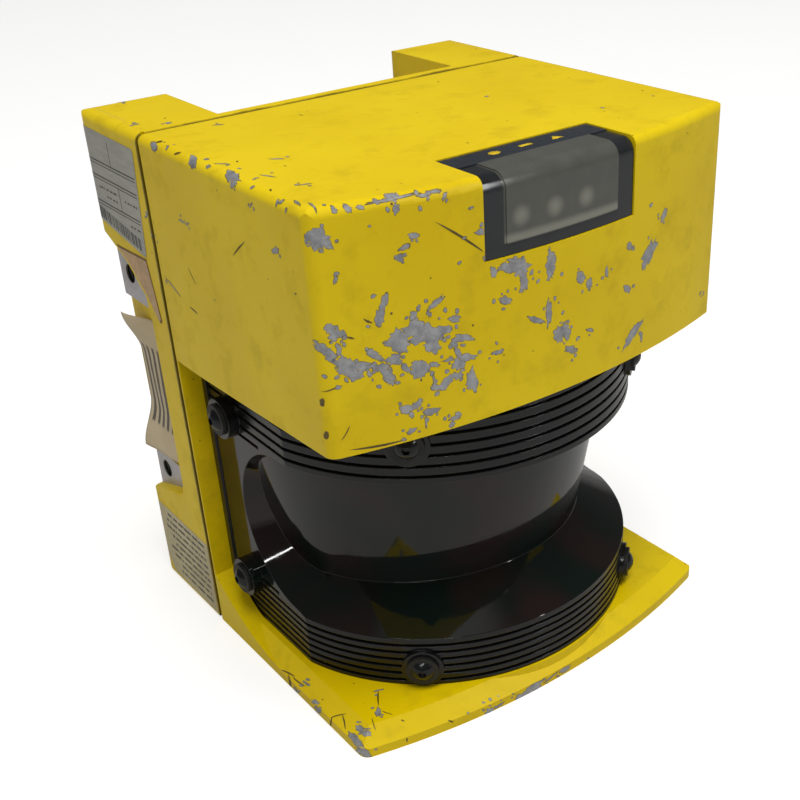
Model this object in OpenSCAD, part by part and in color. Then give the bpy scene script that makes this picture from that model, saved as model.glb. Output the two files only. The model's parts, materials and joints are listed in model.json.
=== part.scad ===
// Safety laser scanner: two die-cast housings, a D-shaped smoke cover with a waisted scan window,
// and a mirror that spins on the cover's axis. X is the width seen from the front, -Y is the front,
// +Z is up, and the origin is on the floor under the middle of the whole scanner.

/* [Body] */
// Width across the two side faces
body_w = 155; // [148:1:170]
// Depth from the middle of the curved front to the rear of the pillars
body_d = 156; // [150:1:170]
// Height from the floor to the top of the hood
body_h = 185; // [180:1:200]
// Depth of the rear casting, behind the seam
rear_d = 46.5; // [42:0.5:52]
// How far the middle of the front stands ahead of its corners
front_bulge = 11.5; // [6:0.5:18]
// Radius of the upright front corners
corner_r = 4; // [2:0.5:7]
// Radius of the castings' long edges
edge_r = 3; // [1:0.5:4]
// Radius of the edges on both sides of the seam
seam_r = 1.2; // [0.6:0.1:2]
// Wall thickness of the castings
wall_t = 4; // [3:0.5:5]
// Gap at the seam that the housing seal fills
seam_gap = 0.8; // [0.5:0.1:1.5]

/* [Hood] */
// Height of the hood's underside at the seam
hood_z = 109; // [106:0.5:112]
// Rise of the hood's underside from the seam to the front corners
hood_rise = 4; // [1:0.5:6]
// Height of the ceiling that the cover's top rim seats under
cover_ceiling_z = 117; // [115:0.5:120]

/* [Base] */
// Height of the base plate's flat top
base_t = 8.8; // [7:0.1:11]
// Height of the base plate's outer edge
base_edge_t = 3.6; // [2:0.1:6]
// Width of the sloped margin round the base plate
base_margin = 5.5; // [3:0.5:8]
// How far the platform under the cover stands out beyond it
platform_lip = 0.8; // [0.5:0.1:1.2]
// Height at which the base plate's ramp meets the rear wall
ramp_h = 22.8; // [16:0.2:30]
// Length of the ramp in front of the rear wall
ramp_l = 50; // [40:1:60]
// Thickness of the wall that stands behind the cover
wall_plate_t = 1.8; // [1.5:0.1:3]

/* [Rear casting] */
// Width of each rear pillar
pillar_w = 30.3; // [26:0.1:34]
// Thickness of the wall between the pillars
bay_wall_t = 4; // [3:0.5:6]
// Height of the floor of the open bay between the pillars
bay_floor_z = 62; // [50:1:80]
// Radius of the pillars' upright edges
pillar_r = 5; // [1.5:0.5:6]
// Radius of the lower rear edge
heel_r = 8; // [4:1:12]
// Radius of the top rear edge
crown_r = 4.5; // [2:0.5:6]
// Depth of the recess in each side face, down to its machined pads
notch_depth = 4.7; // [4:0.1:6]
// Height of the machined pads above the recess's cast floor
pad_rise = 1.8; // [0.8:0.1:2.4]
// Height of the upper edge of the lower pad
pad_low_z = 54; // [52:0.5:60]
// Height of the lower edge of the upper pad
pad_high_z = 118; // [112:0.5:120]
// How far the front edge of the recess lies behind the seam
notch_front = 14; // [10:0.5:18]
// Height of the recess's lower end at its front
notch_z0 = 46; // [40:1:50]
// Height of the recess's upper end at its front
notch_z1 = 127; // [120:1:135]
// Radius of the recess's lower front corner
notch_r = 8; // [4:1:10]

/* [Mounting holes] */
// Tapping radius of the mounting thread
mount_bore_r = 3.4; // [3:0.1:4.5]
// Outer radius of the threaded insert
insert_r = 6.1; // [5.5:0.1:7]
// Length of the threaded insert
insert_l = 12; // [9:0.5:14]
// Radius of the inserts' body behind their flange
insert_body_r = 5.1; // [4.8:0.1:5.3]
// Distance of the hole line from the rear face
mount_inset = 8; // [7.5:0.5:14]
// Height of the lower holes
mount_z0 = 47.6; // [44:0.1:52]
// Distance between the lower and the upper holes
mount_pitch = 80; // [70:1:85]

/* [Optics cover] */
// Distance from the seam to the axis of the cover and of the mirror
axis_to_seam = 34.4; // [33:0.1:38]
// Outer radius of the cover
cover_r = 72.5; // [70:0.1:73]
// How far the cover's flat sides lie inside that radius
flat_in = 2.8; // [1.5:0.1:3]
// Wall thickness of the cover
cover_t = 3; // [2.4:0.1:3.4]
// Height of the middle of the scan pocket
pocket_z = 58.5; // [56:0.5:62]
// Half the height of the scan pocket at the cover's outer face
pocket_half_h = 30.3; // [27:0.1:31]
// How far the pocket's round ends reach behind the cover's axis
pocket_reach = 15.3; // [10:0.1:16]
// Slope of the pocket's skirts, as rise over run
skirt_slope = 0.56; // [0.4:0.01:0.7]
// Radius of the scan window at the middle of the pocket
window_r = 63; // [60:0.5:64]
// How far the centre of that radius lies behind the cover's axis
window_back = 7; // [4:0.5:9]
// Lean of the scan window from upright, in degrees
window_lean = 10; // [5:0.5:14]
// Width of the frame at the cover's rear edge
frame_w = 3; // [2:0.5:4]
// How far that frame stands proud of the cover's sides
frame_proud = 0.6; // [0.4:0.1:1.2]

/* [Ribs] */
// Number of grooves in the upper ribbed band
upper_grooves = 6; // [3:1:6]
// Distance between the grooves of the upper band
upper_pitch = 3.7; // [3:0.1:4]
// Number of grooves in the lower ribbed band
lower_grooves = 6; // [3:1:6]
// Distance between the grooves of the lower band
lower_pitch = 2.95; // [2.4:0.05:3.1]
// Width of each groove at the surface
groove_w = 1.2; // [1:0.1:1.6]
// Width of each groove at its bottom
groove_root = 0.7; // [0.5:0.1:1]
// Depth of each groove
groove_d = 1.2; // [0.8:0.1:1.4]
// Plain lip between a band's edge and its first groove
band_lip = 2; // [1.5:0.1:3]
// Length of the short extra groove beside each side boss
short_groove_l = 11; // [6:1:14]

/* [Cover screws] */
// Radius of the collar round each cover screw
collar_r = 7.2; // [6.5:0.1:8]
// How far the collar stands proud of the ribs
collar_proud = 1.3; // [0.8:0.1:1.6]
// Radius of the sealing washer
washer_r = 5.5; // [5:0.1:6.5]
// Thickness of the sealing washer
washer_t = 1.2; // [0.8:0.1:1.4]
// Radius of the button head
button_r = 3.85; // [3.4:0.05:4.6]
// Height of the button head
button_h = 1.9; // [1.4:0.1:2]
// Radius of the cover screw's shank
cover_screw_r = 2; // [1.5:0.1:2.5]
// Length of the cover screw under its head
cover_screw_l = 14; // [12:0.5:14]
// Angle of the front screws from straight ahead
front_screw_angle = 40; // [30:1:50]
// Distance of the side screws from the seam
side_screw_y = 18.4; // [17:0.2:22]
// Height of the front screws in the upper band
upper_front_z = 103; // [100:0.5:104]
// Height of the side screws in the upper band
upper_side_z = 92.6; // [92:0.1:96]
// Height of the front screws in the lower band
lower_front_z = 16.6; // [16.2:0.1:18]
// Height of the side screws in the lower band
lower_side_z = 27.6; // [26:0.1:29]

/* [Display] */
// Width of the display's slot in the hood
display_w = 57; // [50:1:64]
// Height of the display on the hood's front face
display_h = 23.8; // [20:0.2:28]
// Depth of the display on the hood's top face
display_d = 23; // [19:0.5:28]
// Depth of the printed strip at the back of the display
strip_d = 9.5; // [7:0.5:12]
// Depth of the display's slot in the casting
slot_t = 2.8; // [2.2:0.1:3]
// Radius of the display's top front edge
display_edge_r = 4.5; // [3.5:0.5:6]
// Width of the raised window in front of the lamps
window_w = 42; // [34:1:46]
// Distance between the lamps
led_pitch = 12; // [10:0.5:13]
// Sideways place of the middle lamp
led_x = -4; // [-6:0.5:4]
// Distance of the lamps' axis below the hood's top
led_drop = 13; // [11:0.5:16]
// Width of the board behind the lamps
display_board_w = 52; // [46:1:54]
// Height of the board behind the lamps
display_board_h = 16; // [12:0.5:18]
// Radius of each lamp
led_r = 2.5; // [1.5:0.1:3]

/* [Scanner unit] */
// Height of the scan plane
scan_z = 63; // [61:0.5:65]
// Radius of the rotating mirror block
hub_r = 21; // [18:0.5:22]
// Height of the top of the mirror block
hub_top_z = 93; // [90:0.5:96]
// Thickness of the mirror
mirror_t = 3; // [2:0.5:4]
// Radius of the motor shaft
shaft_r = 3; // [2.5:0.1:4]
// Running clearance of the shaft in its bearings
shaft_fit = 0.05; // [0.02:0.01:0.1]
// Outer radius of the bearings
bearing_r = 6.5; // [5.5:0.1:7.5]
// Length of each bearing
bearing_l = 5; // [4:0.5:6]
// Radius of the motor
motor_r = 22; // [20:0.5:26]
// Height of the motor
motor_h = 28; // [24:1:29]
// Thickness of the scanner frame's top plate
frame_plate_t = 5; // [5:0.5:6]
// Radius of the scanner frame's top plate
frame_plate_r = 41; // [39:0.5:44]
// Depth of the scanner frame's rear column
column_d = 7; // [5:0.5:7]
// Width of the scanner frame's rear column
column_w = 36; // [28:1:40]
// Radius of the encoder disc
encoder_r = 24; // [20:0.5:25]
// Thickness of the encoder disc
encoder_t = 1; // [0.6:0.1:1.5]
// Radius of the receiver lens
lens_r = 20; // [17:0.5:21]
// Wall of the lens holder
lens_wall = 2.4; // [1.8:0.1:3]
// Height of the top of the lens holder
lens_top_z = 37; // [35:0.5:38]
// Radius of the laser module
laser_r = 5; // [4:0.5:6]

/* [Electronics] */
// Thickness of the circuit boards
board_t = 1.6; // [1:0.1:2.4]
// Width of the main board
main_board_w = 124; // [100:1:130]
// Depth of the main board
main_board_d = 72; // [60:1:80]
// Height of the main board
main_board_z = 152; // [150:0.5:160]
// Gap between the power board's ends and the walls of the box below the bay
power_board_gap = 3.2; // [1:0.1:12]
// Height of the power board
power_board_h = 38; // [30:1:42]
// Radius of the board spacers
spacer_r = 3; // [2.5:0.1:4]
// Clearance between pieces that slip together
slip = 0.3; // [0.2:0.05:0.5]

/* [Hidden] */
$fn = 96;
fine = 0.05;                        // clearance of a screw in its thread
foot_r = 0.8;                       // radius of the castings' lower edges
hw = body_w / 2;
front_y = -body_d / 2;
rear_y = body_d / 2;
seam_y = rear_y - rear_d;
rear_face_y = seam_y + seam_gap;    // front face of the rear casting
arc_r = (hw * hw + front_bulge * front_bulge) / (2 * front_bulge);
arc_cy = front_y + arc_r;           // centre of the curved front
corner_y = front_y + front_bulge;
axis_y = seam_y - axis_to_seam;
wall_y = seam_y - wall_plate_t;     // front face of the wall behind the cover
bay_w = body_w - 2 * pillar_w;
bay_y = rear_face_y + bay_wall_t;
flange_t = 0.8;                     // flange of each insert, flush with its pad
insert_end = 0.5;                   // how far each insert stands into the pillar's hollow
cap_t = 1.2;                        // disc that closes it there
pillar_sill = 24;                   // solid ends of the pillars, above and below their hollow
notch_y = seam_y + notch_front;
notch_x = hw - notch_depth;         // face of the pads in the side recess
notch_knee = 20;                    // the recess's upper end bends this far behind its front
notch_climb = 13;                   // climbs this far up to the bend
notch_rise = 0.43;                  // and goes on with this slope
notch_fall = 0.33;                  // slope of the recess's lower end
mount_y = rear_y - mount_inset;
mount_zs = [mount_z0, mount_z0 + mount_pitch];
housing_screw_r = 2.5;
housing_screw_l = 13;               // thread length of the housing screws in the front casting
housing_screw_inset = 14.5;         // distance of the housing screws from the outer faces
housing_screws_at = [for (s = [-1, 1], z = [housing_screw_inset, body_h - housing_screw_inset])
    [s * (hw - housing_screw_inset), z]];
screw_well_r = 5;
seat_y = rear_y - 8;                // floor of the screw wells
seal_t = 1.4;
seal_w = 2.4;
cover_gap = 0.4;                    // gap between the cover and the castings round it
cover_z0 = base_t;
cover_z1 = cover_ceiling_z - seal_t;
cover_in_r = cover_r - cover_t;
side_x = cover_r - flat_in;         // half the cover's width
collar_ring_r = cover_in_r - 0.5;   // outer radius of the castings' collars
collar_t = flat_in + 1.2;
collar_low_z = 22.5;                // top of the lower collar
collar_top_z = 96;                  // bottom of the upper collar
post_w = 10;
pocket_cy = axis_y + pocket_reach - pocket_half_h;
pocket_top = pocket_z + pocket_half_h;
pocket_low = pocket_z - pocket_half_h;
first_groove = band_lip + groove_w / 2;
upper_zs = [for (i = [0:upper_grooves - 1]) pocket_top + first_groove + i * upper_pitch];
lower_zs = [for (i = [0:lower_grooves - 1]) pocket_low - first_groove - i * lower_pitch];
// Each cover screw as [turn about the cover's axis, sideways shift, height].
side_dy = seam_y - side_screw_y - axis_y;
cover_screws_at = concat(
    [for (s = [-1, 1], z = [lower_front_z, upper_front_z]) [s * front_screw_angle, 0, z]],
    [for (s = [-1, 1], z = [lower_side_z, upper_side_z]) [s * 90, s * side_dy, z]]);
screw_seat_r = cover_r + collar_proud;
display_y = front_y + display_d;
display_z = body_h - display_h;
strip_y = display_y - strip_d;
lens_step = 0.5;                    // depth of the display's dark surround below the hood's skin
lens_raise = 0.15;                  // depth of its raised window below the hood's skin
lens_gap = 0.1;                     // gap behind the display's curved part
display_board_y = front_y + wall_t + 7;
led_z = body_h - led_drop;
led_l = 7;
hood_floor_z = cover_ceiling_z + wall_t;
floor_hole_r = motor_r + 8;
frame_z0 = cover_ceiling_z - frame_plate_t;
frame_screw_r = 2;
frame_screw_ring = frame_plate_r - 5;
hub_bore_l = 14;
encoder_z = frame_z0 - 8;
board_lift = 2;                     // height of the rings under the boards on the base plate
board_z = base_t + board_lift;
lens_seat_z = lens_top_z - 6;
sensor_ring_r = 52;
sensor_ring_back = 8;               // how far the sensor boards reach behind the axis
sensor_l = 7;
main_board_y = seam_y - 6 - main_board_d;
spacers_at = [for (sx = [-1, 1], sy = [6, main_board_d - 6])
    [sx * (main_board_w / 2 - 6), main_board_y + sy]];
power_board_y = rear_y - wall_t - 8;
power_board_z = bay_floor_z / 2;
power_board_w = bay_w - 2 * wall_t - 2 * power_board_gap;
plug_w = 18;
plug_h = 9;
post_dx = 12.5;
connectors_at = [[-22, 128], [22, 128]];

// ---- shared forms ----

// Rectangle of width w between two heights, with its upper and its lower corners rounded.
module round_band(w, z0, z1, r_top, r_low) {
    translate([-w / 2, z0 + r_low]) square([w, z1 - z0 - r_low - r_top]);
    translate([-w / 2 + r_top, z1 - 2 * r_top]) square([w - 2 * r_top, 2 * r_top]);
    translate([-w / 2 + r_low, z0]) square([w - 2 * r_low, 2 * r_low]);
    for (s = [-1, 1]) {
        translate([s * (w / 2 - r_top), z1 - r_top]) circle(r_top);
        translate([s * (w / 2 - r_low), z0 + r_low]) circle(r_low);
    }
}

// Section of the curved front, rounded above and below, and open towards the block's middle.
module front_section(r, z0, z1, r_top, r_low) {
    r_in = r - body_d;
    mid = (z0 + z1) / 2;
    translate([r_in, z0 + r_low]) square([r - r_in, z1 - z0 - r_low - r_top]);
    translate([r_in, mid]) square([r - r_in - r_top, z1 - mid + 5]);
    translate([r_in, z0 - 5]) square([r - r_in - r_low, mid - z0 + 5]);
    translate([r - r_top, z1 - r_top]) circle(r_top);
    translate([r - r_low, z0 + r_low]) circle(r_low);
}

// Plan of the front corners: wide behind, and rounded where the sides meet the curved front.
module corner_plan(inset) {
    r = max(corner_r - inset, 0.4);
    rf = arc_r - inset;
    cx = hw - inset - r;
    cy = arc_cy - sqrt((rf - r) * (rf - r) - cx * cx);
    xt = cx * rf / (rf - r);
    translate([-hw - 5, cy]) square([2 * hw + 10, body_d]);
    translate([-xt, front_y - 5]) square([2 * xt, cy - front_y + 6]);
    for (s = [-1, 1]) translate([s * cx, cy]) circle(r);
}

// Block with the curved front and rounded edges. Every face lies inset inside the full outline,
// apart from the flat rear at y_back.
module cast_block(z0, z1, y_back, inset, r_top, r_low) {
    intersection() {
        translate([0, 0, z0 - 1]) linear_extrude(z1 - z0 + 2) corner_plan(inset);
        translate([0, y_back, 0]) rotate([90, 0, 0]) linear_extrude(body_d + 10)
            round_band(body_w - 2 * inset, z0, z1, r_top, r_low);
        translate([0, arc_cy, 0]) rotate_extrude($fn = 360)
            front_section(arc_r - inset, z0, z1, r_top, r_low);
    }
}

// Plan of the cover: round in front, with flat sides that run straight back.
module d_plan(r, y_back) {
    side = r - flat_in;
    intersection() {
        translate([0, axis_y]) circle(r, $fn = 180);
        translate([-side, axis_y - r - 1]) square([2 * side, r + 2]);
    }
    translate([-side, axis_y]) square([2 * side, y_back - axis_y]);
}

module d_block(r, z0, z1, y_back) {
    translate([0, 0, z0]) linear_extrude(z1 - z0) d_plan(r, y_back);
}

module d_ring(r_out, r_in, z0, z1, y_back) {
    translate([0, 0, z0]) linear_extrude(z1 - z0) difference() {
        d_plan(r_out, y_back);
        d_plan(r_in, y_back + 1);
    }
}

// Front part of a flat ring round the cover's axis.
module half_ring(r_out, r_in, z0, z1) {
    translate([0, axis_y, z0]) linear_extrude(z1 - z0) intersection() {
        difference() {
            circle(r_out);
            circle(r_in);
        }
        translate([-r_out - 1, -r_out - 1]) square([2 * r_out + 2, r_out + 1 + sensor_ring_back]);
    }
}

// Places its child at each cover screw, with Z pointing out of the cover.
module at_cover_screws() {
    for (s = cover_screws_at)
        translate([0, axis_y, s[2]]) rotate([0, 0, s[0]]) translate([s[1], 0, 0])
            rotate([90, 0, 0]) children();
}

module at_frame_screws() {
    for (a = [45:90:315]) translate([0, axis_y, 0]) rotate([0, 0, a])
        translate([frame_screw_ring, 0, 0]) children();
}

// Corner outside a quarter circle, for cutting an edge round.
module round_cut(r, turn) {
    rotate(turn) difference() {
        square(r + 1);
        circle(r);
    }
}

// Rounds the four outer edges of a casting at its seam face y, with the casting on the side s of it.
module seam_edges(y, s) {
    for (m = [-1, 1]) translate([m * (hw - seam_r), y + s * seam_r, -1]) linear_extrude(body_h + 2)
        round_cut(seam_r, s > 0 ? 225 - m * 45 : 45 - m * 45);
    for (m = [-1, 1]) translate([-hw - 1, y + s * seam_r, m > 0 ? body_h - seam_r : seam_r])
        rotate([90, 0, 90]) linear_extrude(body_w + 2) round_cut(seam_r, s > 0 ? 135 - m * 45 : m * 45 - 45);
}

module along_x(x, y, z) { translate([x, y, z]) rotate([0, 90, 0]) children(); }
module along_y(x, y, z) { translate([x, y, z]) rotate([-90, 0, 0]) children(); }

// ---- rear casting ----

module rear_housing() {
    color("gold") difference() {
        intersection() {
            translate([0, rear_y + 5, 0]) rotate([90, 0, 0]) linear_extrude(rear_d + 10)
                round_band(body_w, 0, body_h, edge_r, foot_r);
            translate([-hw - 1, 0, 0]) rotate([90, 0, 90]) linear_extrude(body_w + 2) rear_side();
            translate([0, 0, -1]) linear_extrude(body_h + 2) rear_plan();
        }
        translate([0, 0, bay_floor_z]) linear_extrude(body_h) bay_plan();
        for (s = [-1, 1]) {
            translate([s > 0 ? notch_x : -notch_x - hw, 0, 0]) rotate([90, 0, 90]) linear_extrude(hw) notch_plan();
            intersection() {
                translate([s > 0 ? notch_x - pad_rise : pad_rise - notch_x - hw, 0, 0])
                    rotate([90, 0, 90]) linear_extrude(hw) notch_plan();
                translate([-body_w, 0, pad_low_z]) cube([2 * body_w, body_d, pad_high_z - pad_low_z]);
            }
        }
        seam_edges(rear_face_y, 1);
        rear_cavities();
        at_inserts() {
            cylinder(r = insert_body_r, h = insert_l + 1);
            translate([0, 0, insert_l - flange_t]) cylinder(r = insert_r, h = flange_t + 1);
        }
        for (p = housing_screws_at) along_y(p[0], seat_y, p[1]) {
            translate([0, 0, rear_face_y - seat_y - 1])
                cylinder(r = housing_screw_r + slip, h = seat_y - rear_face_y + 2);
            cylinder(r = screw_well_r, h = rear_d);
        }
        for (c = connectors_at) connector_cutout(c);
    }
}

// Side view of the rear casting: rounded heel and rounded top rear edge.
module rear_side() {
    translate([rear_face_y, heel_r]) square([rear_y - rear_face_y, body_h - heel_r - crown_r]);
    translate([rear_face_y, -5]) square([rear_y - rear_face_y - heel_r, heel_r + 6]);
    translate([rear_y - heel_r, heel_r]) circle(heel_r);
    translate([rear_face_y, body_h / 2]) square([rear_y - rear_face_y - crown_r, body_h / 2 + 5]);
    translate([rear_y - crown_r, body_h - crown_r]) circle(crown_r);
}

// Plan of the rear casting with its outer upright edges rounded.
module rear_plan() {
    translate([-hw - 1, rear_face_y - 1]) square([body_w + 2, rear_y - rear_face_y - pillar_r + 1]);
    translate([-hw + pillar_r, rear_face_y]) square([body_w - 2 * pillar_r, rear_y - rear_face_y + 5]);
    for (s = [-1, 1]) translate([s * (hw - pillar_r), rear_y - pillar_r]) circle(pillar_r);
}

// Plan of the bay between the pillars, flared by a radius where it opens to the rear.
module bay_plan() {
    r = pillar_r;
    translate([-bay_w / 2, bay_y]) square([bay_w, rear_y - bay_y + 1]);
    for (s = [-1, 1]) difference() {
        translate([s * (bay_w / 2 + r / 2) - r / 2, rear_y - r]) square([r, r + 1]);
        translate([s * (bay_w / 2 + r), rear_y - r]) circle(r);
    }
}

// Side view of a side recess: upright front edge, round lower corner, sloped upper and lower ends.
module notch_plan() {
    back = rear_y + 5;
    run = back - notch_y;
    low_back = notch_z0 - notch_fall * (run - notch_r);
    polygon([[notch_y, notch_z0 + notch_r], [notch_y, notch_z1 - 9], [notch_y + 1.7, notch_z1 + 0.5],
        [notch_y + 0.65 * notch_knee, notch_z1 + 0.75 * notch_climb],
        [notch_y + notch_knee, notch_z1 + notch_climb],
        [back, notch_z1 + notch_climb + notch_rise * (run - notch_knee)],
        [back, low_back], [notch_y + notch_r, notch_z0], [notch_y + notch_r, notch_z0 + notch_r]]);
    translate([notch_y + notch_r, notch_z0 + notch_r]) circle(notch_r);
}

// Hollows that open towards the seam: the box under the bay and the two pillars.
module rear_cavities() {
    depth = rear_y - wall_t - rear_face_y + 1;
    translate([-bay_w / 2 + wall_t, rear_face_y - 1, wall_t])
        cube([bay_w - 2 * wall_t, depth, bay_floor_z - 2 * wall_t]);
    x0 = bay_w / 2 + wall_t;
    x1 = notch_x - insert_l + insert_end;
    for (s = [-1, 1]) translate([s > 0 ? x0 : -x1, rear_face_y - 1, pillar_sill])
        cube([x1 - x0, depth, body_h - 2 * pillar_sill]);
}

// ---- front casting: hood, wall and base plate in one piece ----

module front_housing() {
    color("gold") {
        difference() {
            union() {
                hood_body();
                wall_frame();
                base_plate();
                ramp();
                collars();
            }
            hood_hollow();
            display_slot();
            seam_edges(seam_y, -1);
            d_ring(cover_r - slip, cover_r - 2 * slip - seal_w, base_t - seal_t, base_t + 1, wall_y - 1);
            front_screw_holes();
        }
        hood_bosses();
    }
}

module hood_body() {
    difference() {
        cast_block(hood_z, body_h, seam_y, 0, edge_r, foot_r);
        // the underside rises towards the front
        translate([-hw - 1, 0, 0]) rotate([90, 0, 90]) linear_extrude(body_w + 2)
            polygon([[seam_y - 3, hood_z - 5], [seam_y - 3, hood_z], [corner_y, hood_z + hood_rise],
                [front_y - 5, hood_z + hood_rise + 0.5], [front_y - 5, hood_z - 5]]);
        // seat of the cover's top rim
        d_block(cover_r + cover_gap, hood_z - 5, cover_ceiling_z, wall_y);
    }
}

module hood_hollow() {
    translate([0, 0, hood_floor_z]) linear_extrude(body_h - wall_t - hood_floor_z) intersection() {
        corner_plan(wall_t);
        translate([0, arc_cy]) circle(arc_r - wall_t, $fn = 360);
        translate([-hw + wall_t, front_y]) square([body_w - 2 * wall_t, seam_y - front_y + 1]);
    }
    translate([0, axis_y, cover_ceiling_z - 1]) cylinder(r = floor_hole_r, h = wall_t + 2);
}

// Wall behind the cover, open in its middle.
module wall_frame() {
    open_w = 2 * (collar_ring_r - post_w);
    difference() {
        translate([-hw, wall_y, 0]) cube([body_w, wall_plate_t, hood_z + 1]);
        translate([-open_w / 2, wall_y - 1, base_t + 20])
            cube([open_w, wall_plate_t + 2, hood_z - base_t - 28]);
    }
}

// Base plate with its sloped margin, the platform that the cover stands on, and the rings that carry
// the boards under the cover.
module base_plate() {
    step = base_t - base_edge_t;
    d_block(cover_r + platform_lip, base_edge_t, base_t, wall_y + 0.5);
    intersection() {
        translate([0, 0, -1]) linear_extrude(base_t + 2) corner_plan(0);
        translate([0, seam_y, 0]) rotate([90, 0, 0]) linear_extrude(body_d + 10)
            polygon([[-hw, 0], [hw, 0], [hw, base_edge_t], [hw - base_margin, base_t],
                [-hw + base_margin, base_t], [-hw, base_edge_t]]);
        translate([0, arc_cy, 0]) rotate_extrude($fn = 360)
            polygon([[arc_r - body_d, -1], [arc_r, -1], [arc_r, base_edge_t],
                [arc_r - 2 * base_margin, base_t + step], [arc_r - body_d, base_t + step]]);
    }
    for (r = [lens_r + 4, sensor_ring_r]) translate([0, axis_y, base_t - 1]) difference() {
        cylinder(r = r, h = board_lift + 1);
        translate([0, 0, -1]) cylinder(r = r - 3, h = board_lift + 3);
    }
}

// Ramp from the base plate up to the wall, on both sides of the cover: an arc that leaves the
// plate level at its foot.
module ramp() {
    rise = ramp_h - base_edge_t;
    rr = (ramp_l * ramp_l + rise * rise) / (2 * rise);
    difference() {
        translate([-hw, seam_y - ramp_l, 0]) cube([body_w, ramp_l - wall_plate_t, ramp_h]);
        along_x(-hw - 1, seam_y - ramp_l, base_edge_t + rr) cylinder(r = rr, h = body_w + 2, $fn = 360);
        d_block(cover_r + cover_gap, base_t, ramp_h + 1, seam_y);
    }
}

// Collars that the cover slips over and is screwed to, above and below, joined by two posts.
module collars() {
    d_ring(collar_ring_r, collar_ring_r - collar_t, base_t - 1, collar_low_z, wall_y + 0.5);
    d_ring(collar_ring_r, collar_ring_r - collar_t, collar_top_z, cover_ceiling_z + 1, wall_y + 0.5);
    block_w = post_w - flat_in;
    block_y = seam_y - side_screw_y - collar_r + 1;
    for (s = [-1, 1]) translate([s > 0 ? collar_ring_r - post_w : flat_in - collar_ring_r, 0, 0]) {
        translate([0, block_y, base_t - 1]) cube([block_w, wall_y - block_y + 0.5, lower_side_z - base_t + 6]);
        translate([0, block_y, upper_side_z - 6])
            cube([block_w, wall_y - block_y + 0.5, cover_ceiling_z - upper_side_z + 7]);
        translate([0, wall_y - 9, base_t - 1]) cube([block_w, 9.5, cover_ceiling_z - base_t + 2]);
    }
    at_cover_screws() translate([0, 0, collar_ring_r - post_w]) cylinder(r = 5, h = block_w - 0.2);
}

// The display's slot: a step round the hood's top front edge, and a light opening in its floor.
module display_slot() {
    difference() {
        translate([-display_w / 2, front_y - 5, display_z]) cube([display_w, display_d + 5, display_h + 5]);
        cast_block(hood_z, body_h - slot_t, seam_y, slot_t, display_edge_r - slot_t + lens_step, foot_r);
    }
    translate([led_x - 1.5 * led_pitch, front_y - 1, led_z - 6]) cube([3 * led_pitch, 12, 12]);
}

module front_screw_holes() {
    at_cover_screws() translate([0, 0, collar_ring_r - post_w + 1])
        cylinder(r = cover_screw_r + fine, h = post_w + 2);
    for (p = housing_screws_at) along_y(p[0], seam_y - housing_screw_l, p[1])
        cylinder(r = housing_screw_r + fine, h = housing_screw_l + 1);
    at_frame_screws() translate([0, 0, cover_ceiling_z - 1]) cylinder(r = frame_screw_r + slip, h = wall_t + 2);
}

// Bosses in the hood for the upper housing screws and for the display board.
module hood_bosses() {
    depth = housing_screw_l + 2;
    difference() {
        for (s = [-1, 1]) translate([s * (hw - housing_screw_inset) - 8, seam_y - depth, body_h - 20])
            cube([16 + 0.5, depth, 20 - wall_t + 0.5]);
        for (p = housing_screws_at) along_y(p[0], seam_y - housing_screw_l, p[1])
            cylinder(r = housing_screw_r + fine, h = housing_screw_l + 1);
    }
    difference() {
        for (s = [-1, 1]) along_y(led_x + s * led_pitch * 1.9, front_y + wall_t - 0.5, led_z)
            cylinder(r = 3, h = display_board_y - front_y - wall_t + 0.5);
        display_slot();
    }
}

// ---- what joins the castings ----

module housing_seal() {
    color("dimgray") translate([0, rear_face_y, 0]) rotate([90, 0, 0]) linear_extrude(seam_gap)
        difference() {
            round_band(body_w - 3, 1.5, body_h - 1.5, edge_r, foot_r);
            round_band(body_w - 11, 5.5, body_h - 5.5, edge_r, foot_r);
        }
}

module housing_screws() {
    shank = seat_y - seam_y + housing_screw_l - 1;
    color("silver") for (p = housing_screws_at) along_y(p[0], seat_y, p[1]) difference() {
        union() {
            translate([0, 0, -shank]) cylinder(r = housing_screw_r, h = shank);
            cylinder(r = screw_well_r - 0.7, h = 5);
        }
        translate([0, 0, 2.5]) cylinder(r = 2.2, h = 5, $fn = 6);
    }
}

// Where each insert lies: its closed end at the origin and its mouth outwards.
module at_inserts() {
    for (s = [-1, 1], z = mount_zs) translate([s * (notch_x - insert_l), mount_y, z]) rotate([0, s * 90, 0])
        children();
}

module thread_inserts() {
    color("slategray") at_inserts() difference() {
        union() {
            cylinder(r = insert_body_r, h = insert_l);
            translate([0, 0, insert_l - flange_t]) cylinder(r = insert_r, h = flange_t);
        }
        translate([0, 0, -1]) cylinder(r = mount_bore_r, h = insert_l + 2);
    }
}

// Discs welded on the inner ends of the inserts, so that no water gets in through the threads.
module insert_caps() {
    color("dimgray") at_inserts() translate([0, 0, -cap_t]) cylinder(r = mount_bore_r + 0.5, h = cap_t);
}

// ---- optics cover ----

// Half the height of the scan pocket at a distance from the axis, grown by g for the inner skin.
function pocket_half(r, g) = pocket_half_h + g * sqrt(1 + skirt_slope * skirt_slope)
    - skirt_slope * (cover_r - r);

// Section of the pocket between its two sloped skirts.
module skirt_section(g) {
    r_out = cover_r + 6;
    r_in = cover_r / 2;
    polygon([[r_in, pocket_z - pocket_half(r_in, g)], [r_out, pocket_z - pocket_half(r_out, g)],
        [r_out, pocket_z + pocket_half(r_out, g)], [r_in, pocket_z + pocket_half(r_in, g)]]);
}

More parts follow.
